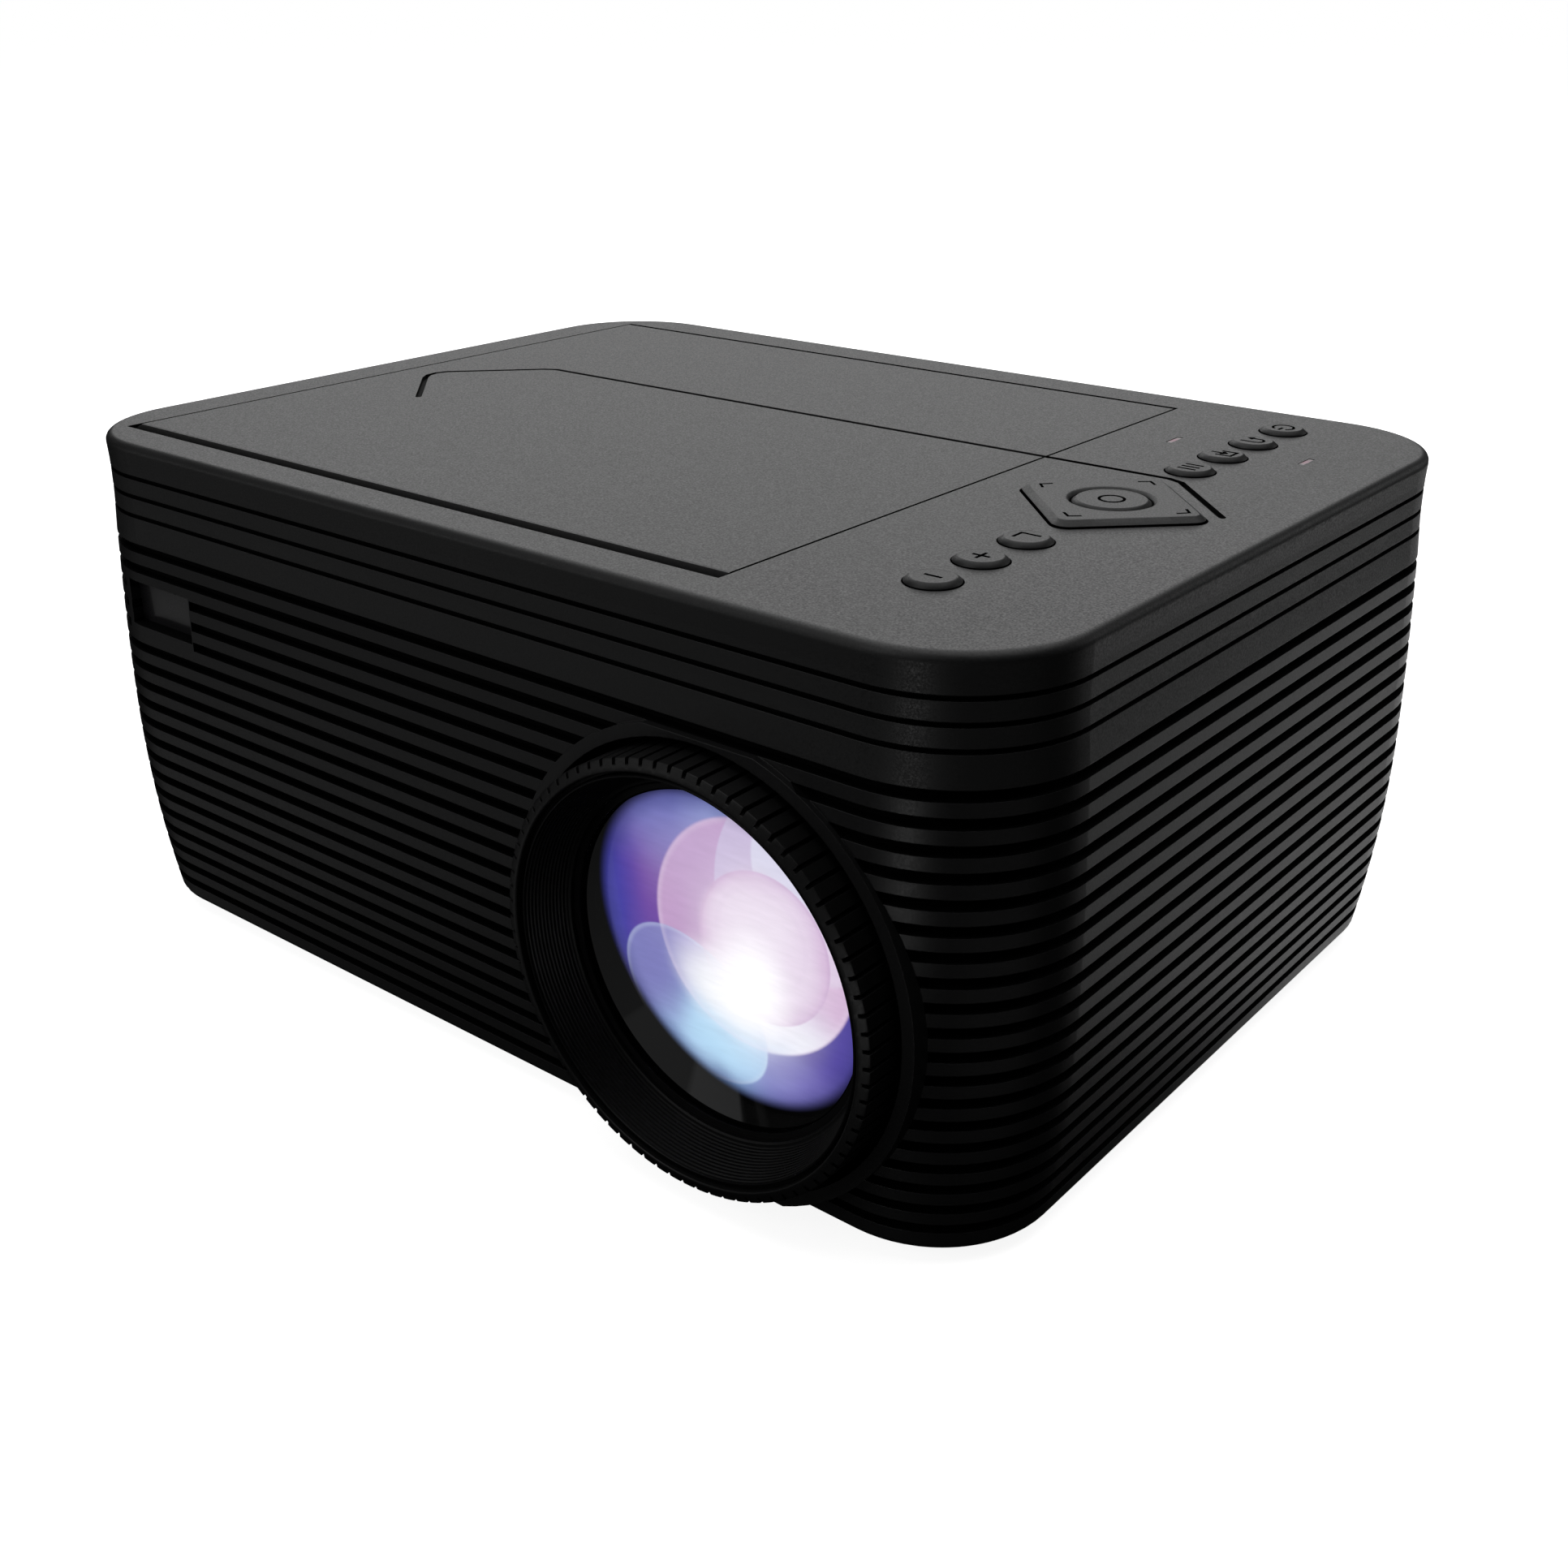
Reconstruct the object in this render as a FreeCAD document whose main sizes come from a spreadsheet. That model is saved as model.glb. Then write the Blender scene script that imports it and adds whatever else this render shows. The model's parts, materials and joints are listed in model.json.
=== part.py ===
import FreeCAD, Part
import math
import os
from FreeCAD import Vector, Placement, Rotation
import Sketcher

# Table-top LCD projector with a disc player under its lid.
# X runs along the front wall, the lens looks along -Y, Z is up.
# The numbers in the sheet are measured from the middle of the body and from the
# underside of the housing; shift_y and shift_z carry them into the row frame,
# whose origin is the bottom centre of the whole machine, feet and lens included.

doc = FreeCAD.newDocument("projector")
sheet = doc.addObject("Spreadsheet::Sheet", "Dims")
values = {}


def cell(alias, value):
    """One named number in the sheet."""
    row = len(values) + 1
    sheet.set("A%d" % row, alias)
    sheet.set("B%d" % row, repr(round(float(value), 6)))
    sheet.setAlias("B%d" % row, alias)
    values[alias] = float(value)
    return "Dims." + alias


# ---- driving dimensions -------------------------------------------------------
for alias, value in (
        ("shift_y", 3.4), ("shift_z", 3.0),
        ("rim_width", 240.0), ("rim_depth", 178.5), ("body_height", 108.0), ("corner_rad", 25.0),
        ("parting_z", 85.7), ("floor_thick", 2.4), ("roof_thick", 3.0), ("wall_thick", 1.5),
        ("rib_first", 22.3), ("rib_pitch", 4.47), ("rib_count", 19), ("rib_gap", 2.0), ("rib_depth", 2.2),
        ("line_first", 7.0), ("line_pitch", 4.15), ("line_gap", 0.9), ("line_depth", 0.9),
        ("lens_x", 64.1), ("lens_z", 41.9), ("collar_rad", 44.4), ("collar_front", -91.3), ("collar_bore", 42.0),
        ("ring_rad", 40.45), ("ring_front", -98.1), ("ring_back", -84.0), ("ring_lip", 37.65), ("ring_bore", 38.9),
        ("notch_count", 80), ("notch_width", 0.8), ("notch_depth", 0.95),
        ("mount_rad", 38.8), ("mount_bore", 37.5), ("barrel_rad", 37.4), ("glass_rad", 32.0),
        ("lid_left", -108.05), ("lid_right", 58.95), ("lid_front", -79.2), ("lid_back", 77.0), ("lid_thick", 2.4),
        ("lid_gap", 0.55), ("hinge_y", 75.4), ("hinge_z", 106.4), ("pin_rad", 0.8), ("pin_play", 0.05),
        ("disc_x", -24.5), ("disc_y", -1.0), ("well_rad", 61.5), ("well_floor", 98.0), ("deck_top", 105.0),
        ("key_x", 87.35), ("key_rad", 4.85), ("key_hole", 5.1), ("key_top", 109.0),
        ("nav_x", 87.4), ("nav_y", -2.2), ("nav_half", 19.9), ("nav_gap", 0.4), ("nav_top", 109.3),
        ("ok_rad", 7.28), ("ok_hole", 7.65), ("ok_dish", 8.25),
        ("tripod_rad", 2.6), ("tripod_len", 6.5)):
    cell(alias, value)
V = values
SY, SZ = V["shift_y"], V["shift_z"]
nodes = []
counter = {}


def E(alias, value):
    """An expression for a size: a text is already one, a number becomes a cell."""
    if isinstance(value, str):
        return value
    return cell(alias, value)


def uniq(name):
    counter[name] = counter.get(name, 0) + 1
    return name if counter[name] == 1 else "%s_n%d" % (name, counter[name])


def place(obj, name, x, y, z, axis=None, angle=0.0):
    if axis is not None:
        obj.Placement = Placement(Vector(0, 0, 0), Rotation(Vector(*axis), angle))
    obj.setExpression("Placement.Base.x", E(name + "_x", x))
    obj.setExpression("Placement.Base.y", E(name + "_y", y) + " + Dims.shift_y")
    obj.setExpression("Placement.Base.z", E(name + "_z", z) + " + Dims.shift_z")


def box(name, x, y, z):
    """Box from three (low, high) pairs."""
    name = uniq(name)
    obj = doc.addObject("Part::Box", name)
    for prop, tag, pair in (("Length", "lx", x), ("Width", "ly", y), ("Height", "lz", z)):
        obj.setExpression(prop, E(name + "_" + tag, pair[1] - pair[0]))
    place(obj, name, x[0], y[0], z[0])
    return obj


AXES = {"z": (None, 0), "x": ((0, 1, 0), 90), "y": ((1, 0, 0), -90), "-y": ((1, 0, 0), 90)}


def cyl(name, at, radius, length, axis="z"):
    """Cylinder from the point at along +axis."""
    name = uniq(name)
    obj = doc.addObject("Part::Cylinder", name)
    obj.setExpression("Radius", E(name + "_rad", radius))
    obj.setExpression("Height", E(name + "_len", length))
    place(obj, name, at[0], at[1], at[2], *AXES[axis])
    return obj


def cone(name, at, r1, r2, length, axis="z"):
    name = uniq(name)
    obj = doc.addObject("Part::Cone", name)
    obj.setExpression("Radius1", E(name + "_ra", r1))
    obj.setExpression("Radius2", E(name + "_rb", r2))
    obj.setExpression("Height", E(name + "_len", length))
    place(obj, name, at[0], at[1], at[2], *AXES[axis])
    return obj


def fuse(name, *items):
    items = [i for i in items if i is not None]
    if len(items) == 1:
        return items[0]
    obj = doc.addObject("Part::MultiFuse", uniq(name))
    obj.Shapes = items
    return obj


def cut(name, base, *tools):
    obj = doc.addObject("Part::Cut", uniq(name))
    obj.Base = base
    obj.Tool = fuse(name + "_tools", *tools)
    return obj


def common(name, a, b):
    obj = doc.addObject("Part::Common", uniq(name))
    obj.Base = a
    obj.Tool = b
    return obj


def group(name, *items):
    obj = doc.addObject("Part::Compound", uniq(name))
    obj.Links = list(items)
    return obj


def solid(name, shape):
    """A shape made with Part's own functions, already in the row frame."""
    obj = doc.addObject("Part::Feature", uniq(name))
    obj.Shape = shape
    return obj


def fillet(name, base, form, pick, radius):
    """Rounds the edges of base that pick(edge) accepts; form is a plain shape with the same edges."""
    edges = [i + 1 for i, e in enumerate(form.Edges) if pick(e)]
    obj = doc.addObject("Part::Fillet", uniq(name))
    obj.Base = base
    obj.Edges = [(i, radius, radius) for i in edges]
    return obj


def chamfer(name, base, form, pick, size):
    edges = [i + 1 for i, e in enumerate(form.Edges) if pick(e)]
    obj = doc.addObject("Part::Chamfer", uniq(name))
    obj.Base = base
    obj.Edges = [(i, size, size) for i in edges]
    return obj


def node(obj, label):
    obj.Label = label
    nodes.append(obj)
    return obj


def at_z(z):
    return lambda e: all(abs(v.Z - z) < 1e-6 for v in e.Vertexes)


def upright(e):
    return abs(e.Vertexes[0].Z - e.Vertexes[-1].Z) > 1.0


# ---- housing walls ------------------------------------------------------------
# The walls are barrel shaped: they belly out by 2 mm half way up and tuck in at
# the floor. SAG gives the inward offset from the rim at a height.
SAG = ((0.0, 1.7), (5.0, 0.9), (17.0, -0.6), (30.0, -1.6), (44.0, -2.0), (64.0, -1.6),
       (87.0, -0.5), (95.0, 0.1), (103.0, 0.25), (108.0, 0.0))
W, D, H, R = V["rim_width"], V["rim_depth"], V["body_height"], V["corner_rad"]


def sag(z):
    z = min(max(z, SAG[0][0]), SAG[-1][0])
    slope = []
    for i in range(len(SAG)):
        a, b = SAG[max(i - 1, 0)], SAG[min(i + 1, len(SAG) - 1)]
        slope.append((b[1] - a[1]) / (b[0] - a[0]))
    for i in range(len(SAG) - 1):
        (z0, o0), (z1, o1) = SAG[i], SAG[i + 1]
        if z <= z1:
            t = (z - z0) / (z1 - z0)
            d = z1 - z0
            return ((2 * t ** 3 - 3 * t ** 2 + 1) * o0 + (t ** 3 - 2 * t ** 2 + t) * d * slope[i]
                    + (-2 * t ** 3 + 3 * t ** 2) * o1 + (t ** 3 - t ** 2) * d * slope[i + 1])


def grooves():
    """(low, high, depth) of every groove, from the top down."""
    out = [(H - V["line_first"] - i * V["line_pitch"], V["line_gap"], V["line_depth"]) for i in range(3)]
    out += [(H - V["rib_first"] - i * V["rib_pitch"], V["rib_gap"], V["rib_depth"]) for i in range(int(V["rib_count"]))]
    return [(c - g / 2, c + g / 2, d) for c, g, d in out]


def outer_line(z_low, z_high, ribbed=True):
    """Outside of the wall from z_low up to z_high as (offset, z) points."""
    pts = []
    marks = [z_low] + [z for z, _ in SAG if z_low < z < z_high] + [z_high]
    cuts = []
    for a, b, d in grooves():
        a, b = max(a, z_low), min(b, z_high)
        if b - a > 1e-6:
            cuts.append((a, b, d))
    zs = [z for z in marks if not any(a - 0.05 <= z <= b + 0.05 for a, b, _ in cuts)]
    events = [(z, [(sag(z), z)]) for z in zs]
    for a, b, d in cuts:
        run = [(sag(a) + d, a), (sag(b) + d, b)] if ribbed else []
        if a > z_low + 1e-6:
            run.insert(0, (sag(a), a))
        if b < z_high - 1e-6:
            run.append((sag(b), b))
        events.append((a, run))
    for _, run in sorted(events, key=lambda e: e[0]):
        pts += run
    return pts


def inner_line(z_low, z_high, step=14.0):
    """Inside of the wall: follows the outside at the groove depth plus the wall."""
    n = max(1, int(math.ceil((z_high - z_low) / step)))
    zs = [z_low + (z_high - z_low) * i / n for i in range(n + 1)]
    return [(min(sag(z) + V["rib_depth"] + V["wall_thick"], 5.2), z) for z in zs]


def profile_face(pts, arcs=None):
    """Closed face from (offset, z) points; arcs maps a point's index to the arc's middle point."""
    edges = []
    for i in range(len(pts)):
        a, b = pts[i], pts[(i + 1) % len(pts)]
        va, vb = Vector(R - a[0], 0, a[1]), Vector(R - b[0], 0, b[1])
        if (va - vb).Length < 1e-7:
            continue
        if arcs and i in arcs:
            m = arcs[i]
            edges.append(Part.Arc(va, Vector(R - m[0], 0, m[1]), vb).toShape())
        else:
            edges.append(Part.LineSegment(va, vb).toShape())
    return Part.Face(Part.Wire(edges))


def walls(pts, arcs=None, plate=None):
    """Sweeps the section round the rounded rectangle; plate is a (low, high) slab filling the middle."""
    face = profile_face(pts, arcs)
    cx, cy = W / 2 - R, D / 2 - R
    parts = []
    for sx, sy, turn in ((1, 1, 0), (-1, 1, 90), (-1, -1, 180), (1, -1, 270)):
        s = face.copy().revolve(Vector(0, 0, 0), Vector(0, 0, 1), 90)
        s.rotate(Vector(0, 0, 0), Vector(0, 0, 1), turn)
        s.translate(Vector(sx * cx, sy * cy, 0))
        parts.append(s)
    for turn, px, py, length in ((0, cx, -cy, 2 * cy), (90, cx, cy, 2 * cx), (180, -cx, cy, 2 * cy), (270, -cx, -cy, 2 * cx)):
        f = face.copy()
        f.rotate(Vector(0, 0, 0), Vector(0, 0, 1), turn)
        f.translate(Vector(px, py, 0))
        a = math.radians(turn)
        parts.append(f.extrude(Vector(-math.sin(a) * length, math.cos(a) * length, 0)))
    if plate:
        parts.append(Part.makeBox(2 * cx, 2 * cy, plate[1] - plate[0], Vector(-cx, -cy, plate[0])))
    out = parts[0].fuse(parts[1:])
    out.translate(Vector(0, SY, SZ))
    return out


P = V["parting_z"]
FT, RT = V["floor_thick"], V["roof_thick"]
# lower housing: floor edge rounded by 1.6 mm
low_round = 1.6
lower = [(sag(0) + low_round, 0.0)] + outer_line(low_round, P)
lower_arcs = {0: (sag(0.5) + low_round * 0.29, low_round * 0.29)}
inside = inner_line(FT, P)[::-1]
lower += inside + [(R, FT), (R, 0.0)]
housing_wall = solid("housing_wall", walls(lower, lower_arcs, (0.0, FT)))
smooth = outer_line(3.0, P - 2.0, ribbed=False) + inner_line(3.0, P - 2.0)[::-1]
smooth_wall = solid("smooth_wall", walls(smooth))

# top cover: rim edge rounded by 2 mm
top_round = 2.0
upper = outer_line(P, H - top_round) + [(sag(H) + top_round, H), (R, H), (R, H - RT)]
n_up = len(outer_line(P, H - top_round))
upper_arcs = {n_up - 1: (sag(H) + top_round * 0.29, H - top_round * 0.29)}
upper += inner_line(P, H - RT)[::-1]
cover_wall = solid("cover_wall", walls(upper, upper_arcs, (H - RT, H)))


def vent(name, side, y, z):
    """Opens the grooves of one side wall to the inside, leaving the ribs."""
    zs = [z[0] + (z[1] - z[0]) * i / 6.0 for i in range(7)]
    pts = [(W / 2 - sag(h) - V["rib_depth"] + 0.25, h) for h in zs] + [(W / 2 - 9.0, z[1]), (W / 2 - 9.0, z[0])]
    vs = [Vector(side * x, y[0] + SY, h + SZ) for x, h in pts]
    face = Part.Face(Part.makePolygon(vs + [vs[0]]))
    return solid(name, face.extrude(Vector(0, y[1] - y[0], 0)))


LX, LZ = V["lens_x"], V["lens_z"]
front_in = -(D / 2 - 4.6)
collar = common("collar", cyl("collar_cyl", ("Dims.lens_x", "Dims.collar_front", "Dims.lens_z"), "Dims.collar_rad", 10.0, "y"),
                box("collar_clip", (0, 130), (-100, -70), (1.3, 84.7)))
ir_fill = common("ir_fill", smooth_wall, box("ir_fill_box", (-102.1, -77.6), (-95, -60), (65.6, 79.3)))
rear_fill = common("rear_fill", smooth_wall, box("rear_fill_box", (-82, 62), (70, 95), (8.2, 40.2)))
inlet_fill = common("inlet_fill", smooth_wall, box("inlet_fill_box", (71.5, 94.4), (60, 95), (8.2, 31.2)))

SCREWS = ((-112.4, -70), (112.4, 70), (-112.4, 70), (112.4, -70))
posts, post_bores = [], []
for i, (px, py) in enumerate(SCREWS):
    posts.append(cyl("post%d" % i, (px, py, FT), 3.7, 76.6))
    post_bores += [cyl("post_bore%d" % i, (px, py, -1), 2.7, 76.0), cyl("post_hole%d" % i, (px, py, 70), 1.6, 12.0)]

FEET = ((-96, -66), (96, -66), (-96, 66), (96, 66))
foot_pockets = [cyl("foot_pocket%d" % i, (fx, fy, -0.5), 8.0, 1.1) for i, (fx, fy) in enumerate(FEET)]
floor_vents = [box("floor_vent%d" % i, (-60 + 9 * i, -57 + 9 * i), (-28, 28), (-1, FT + 1)) for i in range(9)]
tripod_boss = cyl("tripod_boss", (0, 44, FT), 7.0, 5.0)
foot_boss = cyl("foot_boss", (6, -70, FT), 7.0, 14.6)

housing = cut(
    "housing",
    fuse("housing_sum", housing_wall, collar, ir_fill, rear_fill, inlet_fill, tripod_boss, foot_boss, *posts),
    common("lens_hole", cyl("lens_hole_cyl", ("Dims.lens_x", -100, "Dims.lens_z"), "Dims.collar_bore", 30, "y"),
           box("lens_hole_clip", (0, 130), (-110, -60), (0.8, 90))),
    box("ir_hole", (-100.1, -77.9), (-100, -70), (68.3, 78.2)),
    box("rear_window", (-78, 58), (80, 100), (12, 37)),
    box("inlet_window", (74.8, 93.2), (60, 100), (12.5, 27.5)),
    cyl("tripod_seat", (0, 44, -1), 4.6, 20),
    cyl("foot_seat", (6, -70, -1), 4.3, 30),
    cyl("foot_recess", (6, -70, -1), 9.5, 1.9),
    vent("vent_left", -1, (-22, 46), (10, 76)),
    vent("vent_right", 1, (-46, 4), (10, 76)),
    vent("vent_speaker_left", -1, (-64, -34), (26, 66)),
    vent("vent_speaker_right", 1, (22, 52), (26, 66)),
    *(post_bores + foot_pockets + floor_vents))
node(housing, "bottom_housing")

# ---- top cover ----------------------------------------------------------------
g = V["lid_gap"]
opening = box("lid_opening", (V["lid_left"] - g, V["lid_right"] + g), (V["lid_front"] - g, V["lid_back"] + g), (H - RT - 1, H + 1))
KEYS = (("volume_down_key", -59.5), ("volume_up_key", -45.5), ("next_key", -31.4), ("menu_key", 28.9),
        ("source_key", 42.9), ("back_key", 56.7), ("power_key", 71.1))
key_holes = [cyl(n + "_hole", ("Dims.key_x", y, H - RT - 1), "Dims.key_hole", RT + 2) for n, y in KEYS]
LEDS = ((72.75, 50.3), (101.85, 50.2))
led_holes = [box("led_hole%d" % i, (x - 0.6, x + 0.6), (y - 2.65, y + 2.65), (H - RT - 1, H + 1)) for i, (x, y) in enumerate(LEDS)]


def diamond(name, half, z_low, z_high, round_r):
    """Square standing on its corner, half the diagonal long each way, corners rounded."""
    side = half * math.sqrt(2)
    name = uniq(name)
    obj = doc.addObject("Part::Box", name)
    obj.setExpression("Length", E(name + "_side", side))
    obj.setExpression("Width", "Dims." + name + "_side")
    obj.setExpression("Height", E(name + "_tall", z_high - z_low))
    obj.Placement = Placement(Vector(0, 0, 0), Rotation(Vector(0, 0, 1), 45))
    obj.setExpression("Placement.Base.x", "Dims.nav_x")
    obj.setExpression("Placement.Base.y", "Dims.nav_y - Dims.%s_side * %r + Dims.shift_y" % (name, math.sqrt(0.5)))
    obj.setExpression("Placement.Base.z", E(name + "_base", z_low) + " + Dims.shift_z")
    return fillet(name + "_round", obj, Part.makeBox(side, side, z_high - z_low), upright, round_r)


def stripe(name, a, b, width, z_low, z_high):
    """Straight engraved line from a to b with round ends."""
    L = math.hypot(b[0] - a[0], b[1] - a[1])
    ang = math.degrees(math.atan2(b[1] - a[1], b[0] - a[0]))
    name = uniq(name)
    bar = doc.addObject("Part::Box", name)
    bar.setExpression("Length", E(name + "_run", L))
    bar.setExpression("Width", E(name + "_wide", width))
    bar.setExpression("Height", E(name + "_deep", z_high - z_low))
    nx, ny = -math.sin(math.radians(ang)) * width / 2, math.cos(math.radians(ang)) * width / 2
    bar.Placement = Placement(Vector(0, 0, 0), Rotation(Vector(0, 0, 1), ang))
    bar.setExpression("Placement.Base.x", E(name + "_x", a[0] - nx))
    bar.setExpression("Placement.Base.y", E(name + "_y", a[1] - ny) + " + Dims.shift_y")
    bar.setExpression("Placement.Base.z", E(name + "_z", z_low) + " + Dims.shift_z")
    return [bar, cyl(name + "_end", (b[0], b[1], z_low), width / 2, z_high - z_low)]


# the decorative groove runs over the lid, crosses the seam and wraps the navigation key
TRAIL = ((-82.45, -21.0), (-97.6, -5.9), (-99.3, -3.4), (-99.6, -0.6), (-98.6, 2.1), (-82.4, 18.8), (-79.6, 20.5),
         (86.6, 21.4), (89.8, 20.3), (106.85, 3.1))
trail = [cyl("trail_start", (TRAIL[0][0], TRAIL[0][1], H - 0.9), 0.7, 2.1)]
for a, b in zip(TRAIL[:-1], TRAIL[1:]):
    trail += stripe("trail", a, b, 1.4, H - 0.9, H + 1.2)
trail_cut = fuse("trail_cut", *trail)

cover_posts, cover_bores = [], []
for i, (px, py) in enumerate(SCREWS):
    cover_posts.append(cyl("cover_post%d" % i, (px, py, 79.2), 3.5, H - RT - 79.2 + 0.5))
    cover_bores.append(cyl("cover_bore%d" % i, (px, py, 78), 1.5, 17.0))
# bosses that carry the ends of the lid pins
pin_boss = [box("pin_boss_left", (-113.4, V["lid_left"] - g), (73.2, 78.2), (103.9, H - RT + 0.5)),
            box("pin_boss_right", (V["lid_right"] + g, 64.4), (73.2, 78.2), (103.9, H - RT + 0.5))]
# ears that carry the navigation gimbal
ears = [box("nav_ear_a", (V["nav_x"] - 15.6, V["nav_x"] - 13.2), (V["nav_y"] - 2.4, V["nav_y"] + 2.4), (99.6, 102.9)),
        box("nav_ear_b", (V["nav_x"] + 13.2, V["nav_x"] + 15.6), (V["nav_y"] - 2.4, V["nav_y"] + 2.4), (99.6, 102.9))]
# arms from the roof down to the ears, outside the key's opening
arms = [box("nav_arm_a", (V["nav_x"] - 24.4, V["nav_x"] - 15.6), (V["nav_y"] - 2.4, V["nav_y"] + 2.4), (99.6, 101.4)),
        box("nav_arm_b", (V["nav_x"] + 15.6, V["nav_x"] + 24.4), (V["nav_y"] - 2.4, V["nav_y"] + 2.4), (99.6, 101.4)),
        box("nav_leg_a", (V["nav_x"] - 24.4, V["nav_x"] - 22.0), (V["nav_y"] - 2.4, V["nav_y"] + 2.4), (99.6, H - RT + 0.5)),
        box("nav_leg_b", (V["nav_x"] + 22.0, V["nav_x"] + 24.4), (V["nav_y"] - 2.4, V["nav_y"] + 2.4), (99.6, H - RT + 0.5))]
GZ = 101.4
gimbal_hole = cyl("gimbal_hole", (V["nav_x"] - 20, "Dims.nav_y", GZ), 0.85, 40, "x")
# board standoffs under the roof
board_posts = [cyl("board_post%d" % i, (x, y, 98.1), 2.4, H - RT - 98.1 + 0.5) for i, (x, y) in enumerate(((77.5, -66), (77.5, 76), (98, -66), (98, 76)))]
cover = cut(
    "cover",
    fuse("cover_sum", cut("cover_roof", cover_wall, opening), *(cover_posts + pin_boss + ears + arms + board_posts)),
    diamond("nav_opening", V["nav_half"] + V["nav_gap"] * math.sqrt(2), H - RT - 1.4, H + 1, 3.4),
    cyl("pin_hole", (-113.6, "Dims.hinge_y", "Dims.hinge_z"), "Dims.pin_rad", 178.2, "x"),
    gimbal_hole, trail_cut,
    *(key_holes + led_holes + cover_bores))
node(cover, "top_cover")

# ---- lid ----------------------------------------------------------------------
LT, LB = H, H - V["lid_thick"]
lf, lb, ll, lr = V["lid_front"], V["lid_back"], V["lid_left"], V["lid_right"]


def lid_section():
    """Section of the lid across Y: rolled front edge, bevelled back edge."""
    p = [(lf + 3.3, LT), (lb - 0.7, LT), (lb, LT - 0.7), (lb, LB), (lf, LB), (lf, LT - 1.9)]
    v = [Vector(ll, y + SY, z + SZ) for y, z in p]
    e = [Part.LineSegment(v[i], v[i + 1]).toShape() for i in range(5)]
    e.append(Part.Arc(v[5], Vector(ll, lf + 1.35 + SY, LT - 0.62 + SZ), v[0]).toShape())
    return Part.Face(Part.Wire(e))


lid_plate = solid("lid_plate", lid_section().extrude(Vector(lr - ll, 0, 0)))
knuckles = [box("knuckle_left", (ll, ll + 16), (73.8, 77.0), (104.8, LB + 0.2)), box("knuckle_right", (lr - 16, lr), (73.8, 77.0), (104.8, LB + 0.2))]
nubs = [box("lid_nub_left", (-70, -62), (-75.4, -74.2), (103.2, LB + 0.2)), box("lid_nub_right", (12, 20), (-75.4, -74.2), (103.2, LB + 0.2))]
# the seam's small notch on the right and the finger notch at the left end of the rolled edge
lid = cut("lid", fuse("lid_sum", lid_plate, *(knuckles + nubs)),
          cyl("lid_bore_left", (ll - 1, "Dims.hinge_y", "Dims.hinge_z"), "Dims.pin_rad + Dims.pin_play", 15.0, "x"),
          cyl("lid_bore_right", (lr - 14, "Dims.hinge_y", "Dims.hinge_z"), "Dims.pin_rad + Dims.pin_play", 15.0, "x"),
          trail_cut)
node(lid, "dvd_lid")
node(group("pins", cyl("pin_left", (-113.4, "Dims.hinge_y", "Dims.hinge_z"), "Dims.pin_rad", 18.0, "x"),
           cyl("pin_right", (V["lid_right"] + g + 5.0 - 18.0, "Dims.hinge_y", "Dims.hinge_z"), "Dims.pin_rad", 18.0, "x")), "lid_hinge_pins")
node(group("bumpers", *[cyl("bumper%d" % i, (x, y, V["deck_top"]), 2.5, LB - V["deck_top"]) for i, (x, y) in
                        enumerate(((-102, -70), (52, -70), (-102, 66), (52, 66)))]), "lid_bumpers")

# ---- disc deck and drive ------------------------------------------------------
DX, DY, WF = V["disc_x"], V["disc_y"], V["well_floor"]
DT = V["deck_top"]
fingers = ((DX - 43.5, DY - 43.5), (DX + 43.5, DY + 43.5))
deck = cut(
    "deck",
    fuse("deck_sum", fillet("deck_plate_round", box("deck_plate", (-111.4, 62.4), (-82.4, 80.4), (DT - 2.0, DT)), Part.makeBox(173.8, 162.8, 2.0),
                            lambda e: upright(e) and e.Vertexes[0].X < 1, 12.0),
         cyl("deck_cup", ("Dims.disc_x", "Dims.disc_y", WF - 1.6), "Dims.well_rad + 1.6", DT - WF + 0.6),
         *[cyl("finger_cup%d" % i, (x, y, WF - 1.6), 18.6, DT - WF + 0.6) for i, (x, y) in enumerate(fingers)]),
    cyl("well", ("Dims.disc_x", "Dims.disc_y", "Dims.well_floor"), "Dims.well_rad", 12),
    cyl("hub_hole", ("Dims.disc_x", "Dims.disc_y", 90), 17.0, 12),
    box("sled_window", (DX + 12, 41.0), (DY - 15.0, DY + 15.0), (90, 99)),
    box("hinge_relief", (ll - 3, lr + 3), (72.6, 81), (DT - 1.0, DT + 1)),
    box("pin_boss_relief_l", (-114, ll + 17), (72.6, 81), (DT - 1.6, DT + 1)),
    box("pin_boss_relief_r", (lr - 17, 65), (72.6, 81), (DT - 1.6, DT + 1)),
    box("nub_slot_left", (-70.6, -61.4), (-76.4, -73.2), (DT - 3, DT + 1)),
    box("nub_slot_right", (11.4, 20.6), (-76.4, -73.2), (DT - 3, DT + 1)),
    *[cyl("finger_well%d" % i, (x, y, "Dims.well_floor"), 17.0, 12) for i, (x, y) in enumerate(fingers)],
    *[cyl("deck_post_notch%d" % i, (px, py, 90), 3.9, 20) for i, (px, py) in enumerate(SCREWS) if px < 0])
node(deck, "disc_deck")

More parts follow.
